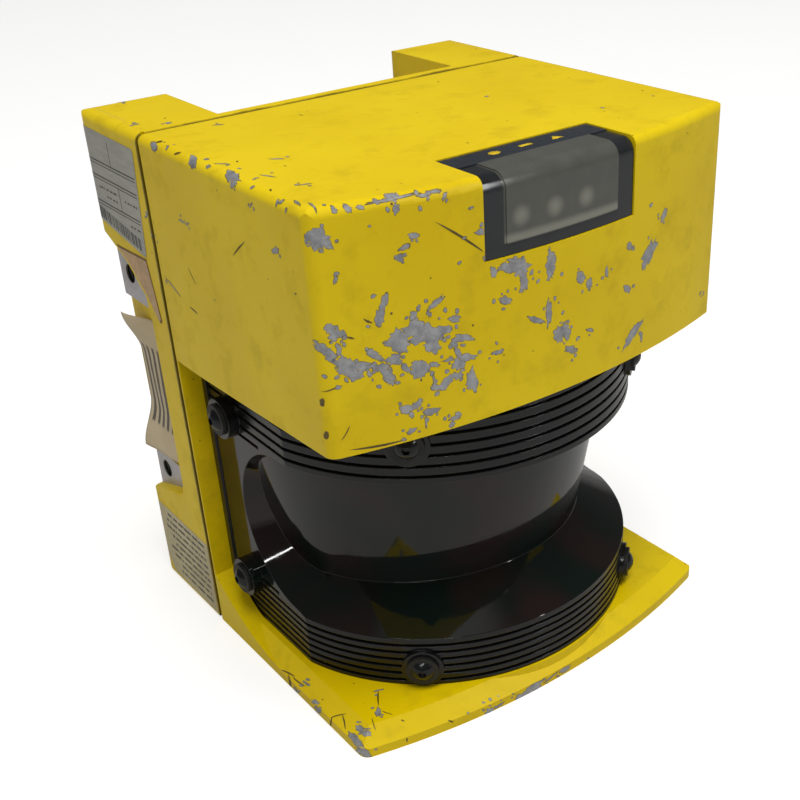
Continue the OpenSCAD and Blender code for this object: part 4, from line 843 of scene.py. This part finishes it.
# %% The marks on the hood's front, side and top, and on the base
hood_front_chips = [
    (-74.9, 177.3, 2.9, 2.69, -66), (-72.5, 175.5, 1.9, 1, -42), (-69.6, 183.8, 0.9, 0.81, -58),
    (-66.2, 183.6, 1.1, 0.99, -52), (-63, 183.4, 1, 0.64, -13), (-58.6, 184, 0.8, 0.75, -43),
    (-54.5, 184, 7, 0.42, 1), (-54.3, 184.6, 1.7, 1.28, -19), (-53.9, 181.5, 1.6, 0.95, 89),
    (-49.6, 173.4, 1.7, 0.93, -15), (-52.3, 170.8, 2.1, 0.72, 16), (-53.9, 168.2, 1.3, 1.16, -46),
    (-71.3, 165.6, 1.3, 0.54, 61), (-59.1, 156.6, 2.7, 1.16, 64), (-60.6, 152.6, 2.5, 1.41, 79),
    (-63.8, 152.5, 1.5, 0.32, -37), (-74, 152.4, 1.6, 1.47, -49), (-72.2, 150.6, 2, 1.06, -40),
    (-70.7, 150.5, 0.9, 0.77, -67), (-73.4, 149.8, 1.2, 1.09, -43), (-69, 148.7, 1.4, 0.28, -25),
    (-76.3, 147.1, 2.3, 1.28, -58), (-74.6, 144.5, 2.6, 1.3, -54), (-72.2, 145.9, 1.7, 0.8, 87),
    (-70.3, 140.6, 3.8, 2.45, -40), (-68.5, 137.7, 2.4, 1.64, -42), (-66, 139.6, 2.3, 1.44, -20),
    (-71.7, 139.7, 1.7, 1.41, -35), (-62.8, 142.3, 3.4, 1.06, -51), (-61.3, 138, 2.5, 1.23, 6),
    (-59.6, 135.1, 3.2, 1.35, -63), (-58.6, 133, 1.3, 0.68, -63), (-55.7, 144.7, 3.7, 3.04, -39),
    (-51.1, 147.5, 2.9, 2.37, -12), (-48.1, 145, 5, 3.14, -21), (-46.2, 141.2, 2.8, 2.31, -64),
    (-42.6, 144.8, 2.8, 1.49, -10), (-38.8, 147.2, 1.8, 1.22, -5), (-36.5, 140.8, 3.6, 1.18, -16),
    (-51.2, 151.1, 1.4, 1.23, 72), (-49.5, 153, 1.1, 0.61, 68), (-39.4, 140, 1.4, 1.11, -45),
    (-38.3, 136.8, 2.4, 0.86, -63), (-57.6, 139.6, 2.2, 1.83, -7), (-54.3, 136.2, 2, 0.95, -58),
    (-50.3, 134.9, 3.2, 2.58, -66), (-45.8, 135.1, 1.6, 0.89, -20), (-41.2, 135.3, 1.8, 0.51, -1),
    (-38.2, 133.1, 2.4, 1.66, 6), (-35.5, 134.5, 2.9, 1.24, -9), (-42.2, 128.7, 3.1, 1.57, 38),
    (-38.7, 129.6, 1.7, 1.18, -29), (-45.9, 128, 1.9, 0.91, -19), (-46.2, 130.6, 1.9, 0.42, -83),
    (-34.1, 126.8, 3.8, 1.81, -88), (-54.9, 123.5, 2.2, 1.5, -26), (-51.7, 124.1, 1.5, 1.31, -13),
    (-53.6, 121.4, 1.1, 0.87, -74), (-47.7, 120.8, 2.5, 1.27, -10), (-49.3, 117.9, 2.1, 0.5, 87),
    (-54, 116.3, 1.6, 0.88, 8), (-40.3, 116.5, 2.1, 0.77, 8), (-39.1, 117.3, 1.2, 0.92, -66),
    (-41.1, 114.8, 1, 0.77, -70), (-64, 114.6, 8.1, 0.32, -4), (-56.4, 114.2, 0.9, 0.62, -26),
    (-29.4, 170.3, 2.1, 1.04, -16), (-34.8, 169.8, 0.9, 0.44, 3), (-36.6, 163.1, 0.8, 0.47, 24),
    (-35.5, 169.7, 10, 0.15, -39), (-40.1, 182.2, 1.3, 0.61, 52), (-44.3, 153.3, 3, 0.96, 34),
    (-28.2, 162.5, 1.3, 0.83, -20), (-25.9, 157.8, 1.5, 1.19, -48), (-21.2, 158, 3.3, 1.38, -30),
    (-16.8, 156.9, 3.4, 2.49, -32), (-19, 159.6, 2.1, 0.85, -16), (-15.7, 152.3, 3, 1.41, -87),
    (-22.2, 148.5, 2.5, 1.16, -19), (-5.8, 155.3, 4.5, 1.87, -87), (-6.7, 140.5, 4.4, 1.14, -89),
    (-2.9, 132.4, 3.3, 1.75, -83), (-0.8, 133.6, 2.1, 0.92, -21), (2.1, 125.9, 3.1, 1.1, -21),
    (-11.5, 139.5, 3.6, 0.87, -31), (-25.2, 133.3, 2.4, 0.79, -9), (5.8, 148, 2.3, 1.68, -41),
    (9.4, 144.9, 2.3, 1.24, -81), (16.8, 146.5, 1.6, 0.86, -81), (36.9, 146.5, 5.3, 2.18, 49),
    (27, 151.9, 1.6, 1.13, -40), (30, 121.8, 5, 1.86, 36), (34.5, 119.4, 1.8, 0.81, -80),
    (44, 157.2, 2.5, 1.14, 51), (36.9, 162.2, 0.9, 0.71, 32), (26.5, 138.3, 2.1, 1.21, -28),
    (0.2, 132.3, 2.7, 1.57, -80), (10, 129.8, 1.8, 0.63, -20), (-76.4, 138.8, 0.7, 0.57, -73),
    (-74.9, 134.6, 2.9, 0.18, 15), (-73.4, 135, 0.8, 0.69, -32), (-77.2, 130.7, 1.4, 0.32, 85),
    (-72.7, 120.7, 2.4, 0.18, 56), (-77.2, 120.5, 1.4, 0.35, 85), (73.1, 115.6, 6.1, 0.38, 34),
    (-77.7, 158.5, 3.3, 0.18, 84), (-77.9, 152.6, 2.4, 0.21, 70), (-32.4, 177.6, 0.9, 0.44, 13),
    (-46, 183.5, 1.4, 0.59, -3), (-42.5, 183.9, 2.3, 0.43, 0),
]
hood_side_chips = [
    (8.1, 163.7, 1.5, 0.47, 1), (3.9, 163.8, 1.4, 0.46, -19), (-28, 164.6, 5.7, 0.17, -37),
    (-49.4, 170, 2.1, 1.02, -26), (22.5, 138.1, 4.9, 0.36, 22), (9.7, 134.1, 2.7, 0.32, 8),
    (6.7, 146.5, 3.1, 0.23, 49), (-39, 180, 1.3, 0.42, -42), (-66.4, 183.6, 1.4, 0.89, -45),
    (-29.3, 183.3, 1.5, 0.87, -54), (33.8, 159.3, 1.5, 0.63, -57), (31, 152.5, 1.5, 0.63, -58),
    (5.7, 184.3, 1.4, 0.34, -14), (-54, 184.1, 1.1, 0.45, -19), (19.1, 184.9, 1.5, 0.29, -13),
    (-7.1, 142.8, 0.5, 0.21, -25), (-57.6, 160.3, 0.6, 0.26, -25), (54.3, 123.4, 1.6, 0.75, -48),
]
top_chips = [
    (-77.1, 19.9, 2.9, 0.91, 78), (-76, 12.8, 1.4, 0.45, 50), (-76.5, -4.5, 3.7, 1.24, 66),
    (-76.1, -13.1, 0.9, 0.63, 90), (-75.7, -26.4, 5.1, 1.47, 79), (-78.9, -52.2, 1.4, 0.61, 79),
    (-75.1, -59.7, 2.5, 0.43, 78), (-73.5, -64.4, 2.8, 0.43, 79), (-59.2, -22, 2.1, 0.6, -38),
    (-69.2, -34.5, 2.6, 0.45, -68), (-72.9, -15.2, 2.3, 0.43, -45), (-65.8, -48, 2.1, 0.43, -17),
    (-53.6, 23.6, 1.8, 0.61, -34), (-68.6, -16.3, 0.8, 0.33, 65), (-76.3, -38.6, 0.8, 0.58, -60),
    (-74.8, -45.9, 0.9, 0.31, 62), (-62.9, 75.7, 3, 1.57, 75), (-64, 37.1, 1.3, 0.87, 82),
    (-72.1, 43.5, 1.4, 0.79, -58),
]
base_chips = [
    (-59.4, -49.3, 1.7, 0.46, -23), (-65.6, -58.1, 2.4, 1, 57), (-61.5, -52.5, 4, 0.15, 56),
    (-63.5, -60.3, 2.2, 0.18, -65), (-69.8, -61.9, 3.3, 0.16, 68), (-76.8, -50.9, 3, 0.24, -19),
    (-79.9, -52, 2.8, 0.2, 51), (-76.9, -54.6, 3.9, 0.2, 65), (-74.5, -60.8, 2.5, 1.09, 88),
    (-74.1, -64.1, 1.5, 1.34, -70), (-78.6, -65.3, 5.5, 1.37, 84), (-79.6, -70.9, 3.1, 1.44, -87),
    (-78.9, -40.1, 1.7, 0.88, -68), (-80.1, -44.4, 1.7, 0.99, 63), (-65.8, -75, 1, 0.26, 55),
    (-61.7, -66.7, 0.7, 0.34, -72), (-37.5, -82.3, 2.1, 1.58, 20), (-32.8, -81.9, 2.3, 0.5, 7),
    (-19, -83.1, 4.8, 1.93, 7), (-24.8, -83.5, 2.3, 1.28, 8), (-4.2, -82.7, 3, 0.86, 7),
    (-10.8, -82.7, 3.8, 0.38, 9), (-12.9, -85, 3.4, 0.41, -6), (-45.5, -81.6, 1.7, 0.45, -12),
    (-43.1, -78, 0.6, 0.43, 55), (-49.9, -77.4, 1.1, 0.35, -69), (-33.8, -86, 7.2, 0.4, -6),
    (2.7, -85, 3.3, 0.53, 2), (16, -85.1, 2.6, 0.53, 5), (-78.6, -21.1, 3.8, 0.31, -73),
    (-77.7, -27.6, 3.6, 0.28, -83), (-80.6, -25.8, 4.8, 0.23, 65), (-80.7, -30.3, 1.8, 0.41, 75),
    (-81.5, 6.4, 2.4, 0.24, 45), (-81.7, -11.5, 3.1, 0.19, 87), (-76.4, -29.4, 1.3, 0.57, -84),
]
lay_wear("hood_front", hood_front_chips, both_castings, from_front, 11)
lay_wear("hood_side", hood_side_chips, both_castings, from_left, 12)
lay_wear("hood_top", top_chips, both_castings, from_above, 13)
lay_wear("base_edge", base_chips, both_castings, from_standpoint, 14)

# %% [markdown]
# The sides that the standpoint doesn't show have lived the same life, so they get knocks as well:
# few on the flats, more along the edges, strewn by a seeded random generator.

# %% The marks on the other sides
def strewn(seed, count, u_span, v_span, largest):
    """Random marks in a field; most are small."""
    dice = random.Random(seed)
    marks = []
    for _ in range(count):
        half_long = 0.5 + (largest - 0.5) * dice.random() ** 2.2
        half_short = half_long * dice.uniform(0.3, 0.8)
        if dice.random() < 0.25:
            half_short = dice.uniform(0.15, 0.22)
        marks.append((dice.uniform(*u_span), dice.uniform(*v_span), half_long, half_short,
                      dice.uniform(-90, 90)))
    return marks


high_z, low_z, post_z = (118, 181), (8, 40), (8, 178)
other_sides = (
    ("right_hood_edge", from_right, 21, 22, (-60, 75), (178, 184.4), 2.4),
    ("right_side", from_right, 22, 20, (-50, 72), high_z, 1.8),
    ("right_side_low", from_right, 23, 16, (44, 74), low_z, 1.8),
    ("rear_left_post", from_rear, 24, 16, (-75, -52), post_z, 1.8),
    ("rear_right_post", from_rear, 25, 16, (52, 75), post_z, 1.8),
    ("top_field", from_above, 26, 16, (-70, 70), (-50, 70), 1.3),
    ("right_base_edge", from_right, 27, 24, (-60, 60), (2.5, 7), 2.2),
)
for name, aim, seed, count, u_span, v_span, largest in other_sides:
    marks = strewn(seed, count, u_span, v_span, largest)
    lay_wear(name, marks, both_castings, aim, seed)

# %% [markdown]
# ## Labels
# Old machine labels are thin sheets of printed foil or paper. Nothing on these says anything: where a
# real one would carry text, there are rules, dashes and bars, as any form has them. Each sheet is cut
# to its outline, cast along the sideways direction onto the casting so that it follows the rounded
# rear edge, and thickened by a modifier. Ink lies on it as a second, even thinner layer.

# %% Foil, paper and ink
foil = finish("brushed_label_foil", "95938A", "B4B2A6", (0.3, 0.45), 1.4, 0.012, 0.35, (1, 0.15, 1.6))
paper = finish("yellowed_label_paper", "B2A57E", "CFC39C", (0.55, 0.75), 1.6, 0.03, ior=1.5)
brown_paper = finish("browned_sticker_paper", "A98A63", "CDAC83", (0.5, 0.7), 2.2, 0.04, ior=1.5)
glue_edge = finish("dried_glue_edge", "6A4A20", "87642F", (0.5, 0.7), 1.2, 0.03, ior=1.5)
ink = finish("faded_black_ink", "33322E", "504E48", (0.45, 0.6), 1.0, 0.006, ior=1.5)


def thicken(piece, thick_mm, offset):
    """Give a sheet its thickness: offset 1 is outwards, 0 both ways and -1 inwards."""
    thick = piece.modifiers.new("thickness", "SOLIDIFY")
    thick.thickness = thick_mm * MM
    thick.offset = offset


ROUNDING_CUTS, FIRST_CUT, CUT_STEP = 14, 0.3, 0.45


def side_sheet(name, outlines, material, lift_mm, thick_mm):
    """Flat shapes of (y behind the seam, z) in mm, laid on the left side of the rear housing."""
    bm = bmesh.new()
    for outline in outlines:
        corners = [bm.verts.new((0, seam_y + v * MM, z * MM)) for v, z in outline]
        bm.faces.new(corners)
    for step in range(ROUNDING_CUTS):
        cut = rear_y - (FIRST_CUT + CUT_STEP * step) * MM
        geometry = bm.verts[:] + bm.edges[:] + bm.faces[:]
        bmesh.ops.bisect_plane(bm, geom=geometry, plane_co=(0, cut, 0), plane_no=(0, 1, 0), dist=1e-7)
    for corner in bm.verts:
        origin = Vector((-0.1, corner.co.y, corner.co.z))
        place = land(rear_casting, origin, Vector((1, 0, 0)), lift_mm * MM)
        corner.co = place if place is not None else Vector((-half_width, corner.co.y, corner.co.z))
    bmesh.ops.recalc_face_normals(bm, faces=bm.faces[:])
    bm.normal_update()
    if sum(face.normal.x for face in bm.faces) > 0:
        bmesh.ops.reverse_faces(bm, faces=bm.faces[:])
    piece = add_object(name, bm, material)
    thicken(piece, thick_mm, 1.0)
    for face in piece.data.polygons:
        face.use_smooth = False
    return piece


def rule(v0, v1, z, width=0.45):
    """A printed line from v0 to v1 at the height z."""
    return [(v0, z - width / 2), (v1, z - width / 2), (v1, z + width / 2), (v0, z + width / 2)]


def upright(v, z0, z1, width=0.4):
    """A printed line that stands up."""
    return [(v - width / 2, z0), (v + width / 2, z0), (v + width / 2, z1), (v - width / 2, z1)]


def dashes(dice, v0, v1, z, height=0.75, longest=5.0):
    """A row of short strokes, as a form's filled-in field has."""
    made = []
    v = v0
    while v < v1 - 0.8:
        size = min(dice.uniform(0.8, longest), v1 - v)
        made.append(rule(v, v + size, z, height))
        v += size + dice.uniform(0.5, 1.3)
    return made


rear_edge_v = (rear_y - seam_y) / MM
print("the side runs", round(rear_edge_v, 1), "mm back from the seam")

# %% [markdown]
# ### The rating plate
# High on the side sits a plate of silvery foil with rounded corners. Double rules part it into
# fields, and a block of bars fills the foot. The fields themselves stay almost bare.

# %% Lay the rating plate
plate_edge = rear_edge_v - 1.2
rating_plate = [(plate_edge, 180.0), (6.0, 179.5), (5.1, 179.1), (4.8, 178.2), (8.4, 144.2),
                (8.8, 143.3), (9.8, 143.0), (plate_edge - 0.9, 148.4), (plate_edge, 149.4)]
side_sheet("rating_plate", [rating_plate], foil, 0.06, 0.08)
dice = random.Random(31)
print_on_plate = []
for start, z in ((7.0, 169.5), (7.5, 164.2), (8.3, 155.2)):
    print_on_plate += [rule(start, plate_edge - 1.5, z), rule(start, plate_edge - 1.5, z - 1.1, 0.3)]
print_on_plate += [upright(25.0, 169.7, 177.6), upright(22.0, 155.4, 163.0)]
for start, end, z, longest in (
        (9.0, 19.0, 159.6, 3.0), (24.5, 38.0, 160.4, 3.5),
        (24.5, 33.0, 157.8, 3.5), (9.5, 17.0, 151.6, 2.5)):
    print_on_plate += dashes(dice, start, end, z, 0.6, longest)
v = 11.0
while v < 42.5:
    size = dice.choice((0.4, 0.4, 0.8, 1.1))
    foot_z = 144.3 + (v - 10) * 0.15
    print_on_plate.append(upright(v + size / 2, foot_z, foot_z + 4.2, size))
    v += size + dice.choice((0.35, 0.5, 0.7))
side_sheet("rating_plate_ink", print_on_plate, ink, 0.15, 0.02)
print(len(print_on_plate), "strokes of ink on the plate")

# %% [markdown]
# ### The pointed sticker and the lined label
# Below the plate a brown sticker tapers to a point; it is a plain field with a thin darker rim of
# dried glue. The label on the lower part of the side is beige paper with nine rows of strokes.

# %% Lay the sticker and the lined label
pointed = [(33.5, 141.2), (9.3, 142.3), (5.3, 121.5), (6.5, 120.2), (8.5, 121.5), (12.9, 127.0),
           (15.0, 129.3), (26.5, 138.0)]
middle_v = sum(v for v, z in pointed) / len(pointed)
middle_z = sum(z for v, z in pointed) / len(pointed)
rim_share = 0.07
inner = [(v + (middle_v - v) * rim_share, z + (middle_z - z) * rim_share) for v, z in pointed]
side_sheet("sticker_glue", [pointed], glue_edge, 0.06, 0.05)
side_sheet("sticker", [inner], brown_paper, 0.12, 0.05)

lined = [(rear_edge_v - 4.5, 33.5), (1.5, 33.0), (1.8, 1.4), (38.0, 2.2), (rear_edge_v - 4.5, 9.0)]
side_sheet("lined_label", [lined], paper, 0.06, 0.08)
dice = random.Random(33)
first_row_z, row_pitch = 30.6, 3.15
rows = []
for row in range(9):
    z = first_row_z - row_pitch * row
    last = rear_edge_v - 6.5 if z > 10 else 34 - (10 - z) * 0.5
    rows += dashes(dice, 3.2 + dice.uniform(0, 1.5), last * dice.uniform(0.75, 1.0), z, 1.05, 6.0)
side_sheet("lined_label_ink", rows, ink, 0.15, 0.02)
print("the lined label has", len(rows), "strokes")

# %% [markdown]
# ### The peeling strip in the side recess
# A long paper strip with broad dark bars sits on the floor of the left recess. Its glue has given
# up: the foot bulges outwards, and the upper rear corner curls away from the metal. The sheet is a
# grid that is bent by two smooth steps. Its bars are a wave across the sheet in its own coordinates.

# %% Mix the strip's print
def barred_paper():
    made, tree = blank_material("barred_strip_paper")
    place = millimetres(tree)
    across = node(tree, "Attribute", {"attribute_name": "across"})
    along = node(tree, "Attribute", {"attribute_name": "along"})
    wobble = node(tree, "TexNoise", {"Scale": 1 / 6, "Detail": 2.0}, {"Vector": place})
    shifted = node(tree, "Math", {"operation": "MULTIPLY_ADD", 1: 0.035},
                   {0: wobble, 2: across.outputs["Fac"]})
    turns = node(tree, "Math", {"operation": "MULTIPLY", 1: 2 * math.pi * 7}, {0: shifted})
    wave = node(tree, "Math", {"operation": "SINE"}, {0: turns})
    bar = node(tree, "MapRange", {"From Min": -0.08, "From Max": 0.12}, {"Value": wave})
    head = node(tree, "MapRange", {"From Min": 0.215, "From Max": 0.235},
                {"Value": along.outputs["Fac"]})
    foot = node(tree, "MapRange",
                {"From Min": 0.80, "From Max": 0.82, "To Min": 1.0, "To Max": 0.0},
                {"Value": along.outputs["Fac"]})
    field = node(tree, "Math", {"operation": "MULTIPLY"}, {0: head, 1: foot})
    inked = node(tree, "Math", {"operation": "MULTIPLY"}, {0: bar, 1: field})
    stain = node(tree, "TexNoise", {"Scale": 1 / 11, "Detail": 5.0, "Roughness": 0.65},
                 {"Vector": place})
    sheet = node(tree, "Mix",
                 {"data_type": "RGBA", 6: colour("BBA783"), 7: colour("D6C6A4")}, {0: stain})
    dark = node(tree, "Mix",
                {"data_type": "RGBA", 6: colour("5B5146"), 7: colour("70665A")}, {0: stain})
    whole = node(tree, "Mix", {"data_type": "RGBA"},
                 {0: inked, 6: sheet.outputs[2], 7: dark.outputs[2]})
    return coat(made, tree, stain, 0.08, {"Roughness": 0.6, "IOR": 1.5},
                {"Base Color": whole.outputs[2]})


barred = barred_paper()
floor_of_recess = land(rear_casting, Vector((-0.1, 0.062, 0.085)), Vector((1, 0, 0)), 0).x
print("the recess is", round((floor_of_recess + half_width) / MM, 2), "mm deep")

# %% Lay the strip
def smooth_step(low, high, value):
    t = min(max((value - low) / (high - low), 0), 1)
    return t * t * (3 - 2 * t)


strip_front_y, strip_wide = 50.0, 27.0
strip_top_z, strip_long = 112.0, 55.0


def strip_corner(along, across):
    """A point of the strip; along runs down and across runs to the rear, both from 0 to 1."""
    y = strip_front_y + strip_wide * across
    z = strip_top_z - strip_long * along
    out = 0.12
    out += 5.2 * smooth_step(0.66, 1.0, along) * (0.35 + 0.65 * across)
    out += 5.0 * smooth_step(0.30, 0.0, along) * smooth_step(0.35, 1.0, across)
    out += 0.25 * math.sin(9 * across + 5 * along) * smooth_step(0.0, 0.5, along) + 0.25
    out = min(out, (floor_of_recess + half_width) / MM - 0.3)
    return Vector((floor_of_recess - out * MM, y * MM, z * MM))


ROWS, COLUMNS = 44, 22
bm = bmesh.new()
along_layer = bm.verts.layers.float.new("along")
across_layer = bm.verts.layers.float.new("across")
grid = []
for i in range(ROWS + 1):
    line = []
    for j in range(COLUMNS + 1):
        corner = bm.verts.new(strip_corner(i / ROWS, j / COLUMNS))
        corner[along_layer] = i / ROWS
        corner[across_layer] = j / COLUMNS
        line.append(corner)
    grid.append(line)
for upper, lower in zip(grid, grid[1:]):
    for j in range(COLUMNS):
        bm.faces.new((upper[j], lower[j], lower[j + 1], upper[j + 1]))
strip = add_object("peeling_strip", bm, barred)
thicken(strip, 0.12, 0.0)
print("strip is", [round(v / MM, 1) for v in strip.dimensions], "mm")

# %% [markdown]
# ## Marks on the display strip
# The dark strip at the hood's top front edge carries one small yellow sign over each lamp. They are
# plain shapes here: a disc, a bar and a triangle, printed ink a hair's breadth above the film.

# %% Print the three signs
sign_ink = finish("yellow_sign_ink", "D8B400", "E8C820", (0.3, 0.45), 1.0, 0.005, ior=1.5)
strip_low, strip_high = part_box("display_strip")
sign_y = (strip_low[1] + strip_high[1]) / 2
print("display strip from", [round(v / MM, 2) for v in strip_low], "to",
      [round(v / MM, 2) for v in strip_high], "mm")
signs = {
    "sign_left": [(2.0 * math.cos(turn * math.pi / 12), 1.5 * math.sin(turn * math.pi / 12))
                  for turn in range(24)],
    "sign_middle": [(-2.3, -0.8), (2.3, -0.8), (2.3, 0.8), (-2.3, 0.8)],
    "sign_right": [(-2.2, -1.4), (2.2, -1.4), (0.0, 1.6)],
}
strip_tree = casting_tree("display_strip")
for (name, shape), x in zip(signs.items(), (-11.0, 0.5, 12.0)):
    bm = bmesh.new()
    corners = []
    for u, v in shape:
        place = land(strip_tree, Vector(((x + u) * MM, sign_y + v * MM, 0.2)), Vector((0, 0, -1)),
                     0.03 * MM)
        corners.append(bm.verts.new(place))
    bm.faces.new(corners)
    sign = add_object(name, bm, sign_ink)
    thicken(sign, 0.02, -1.0)

# %% Update the view layer
bpy.context.view_layer.update()
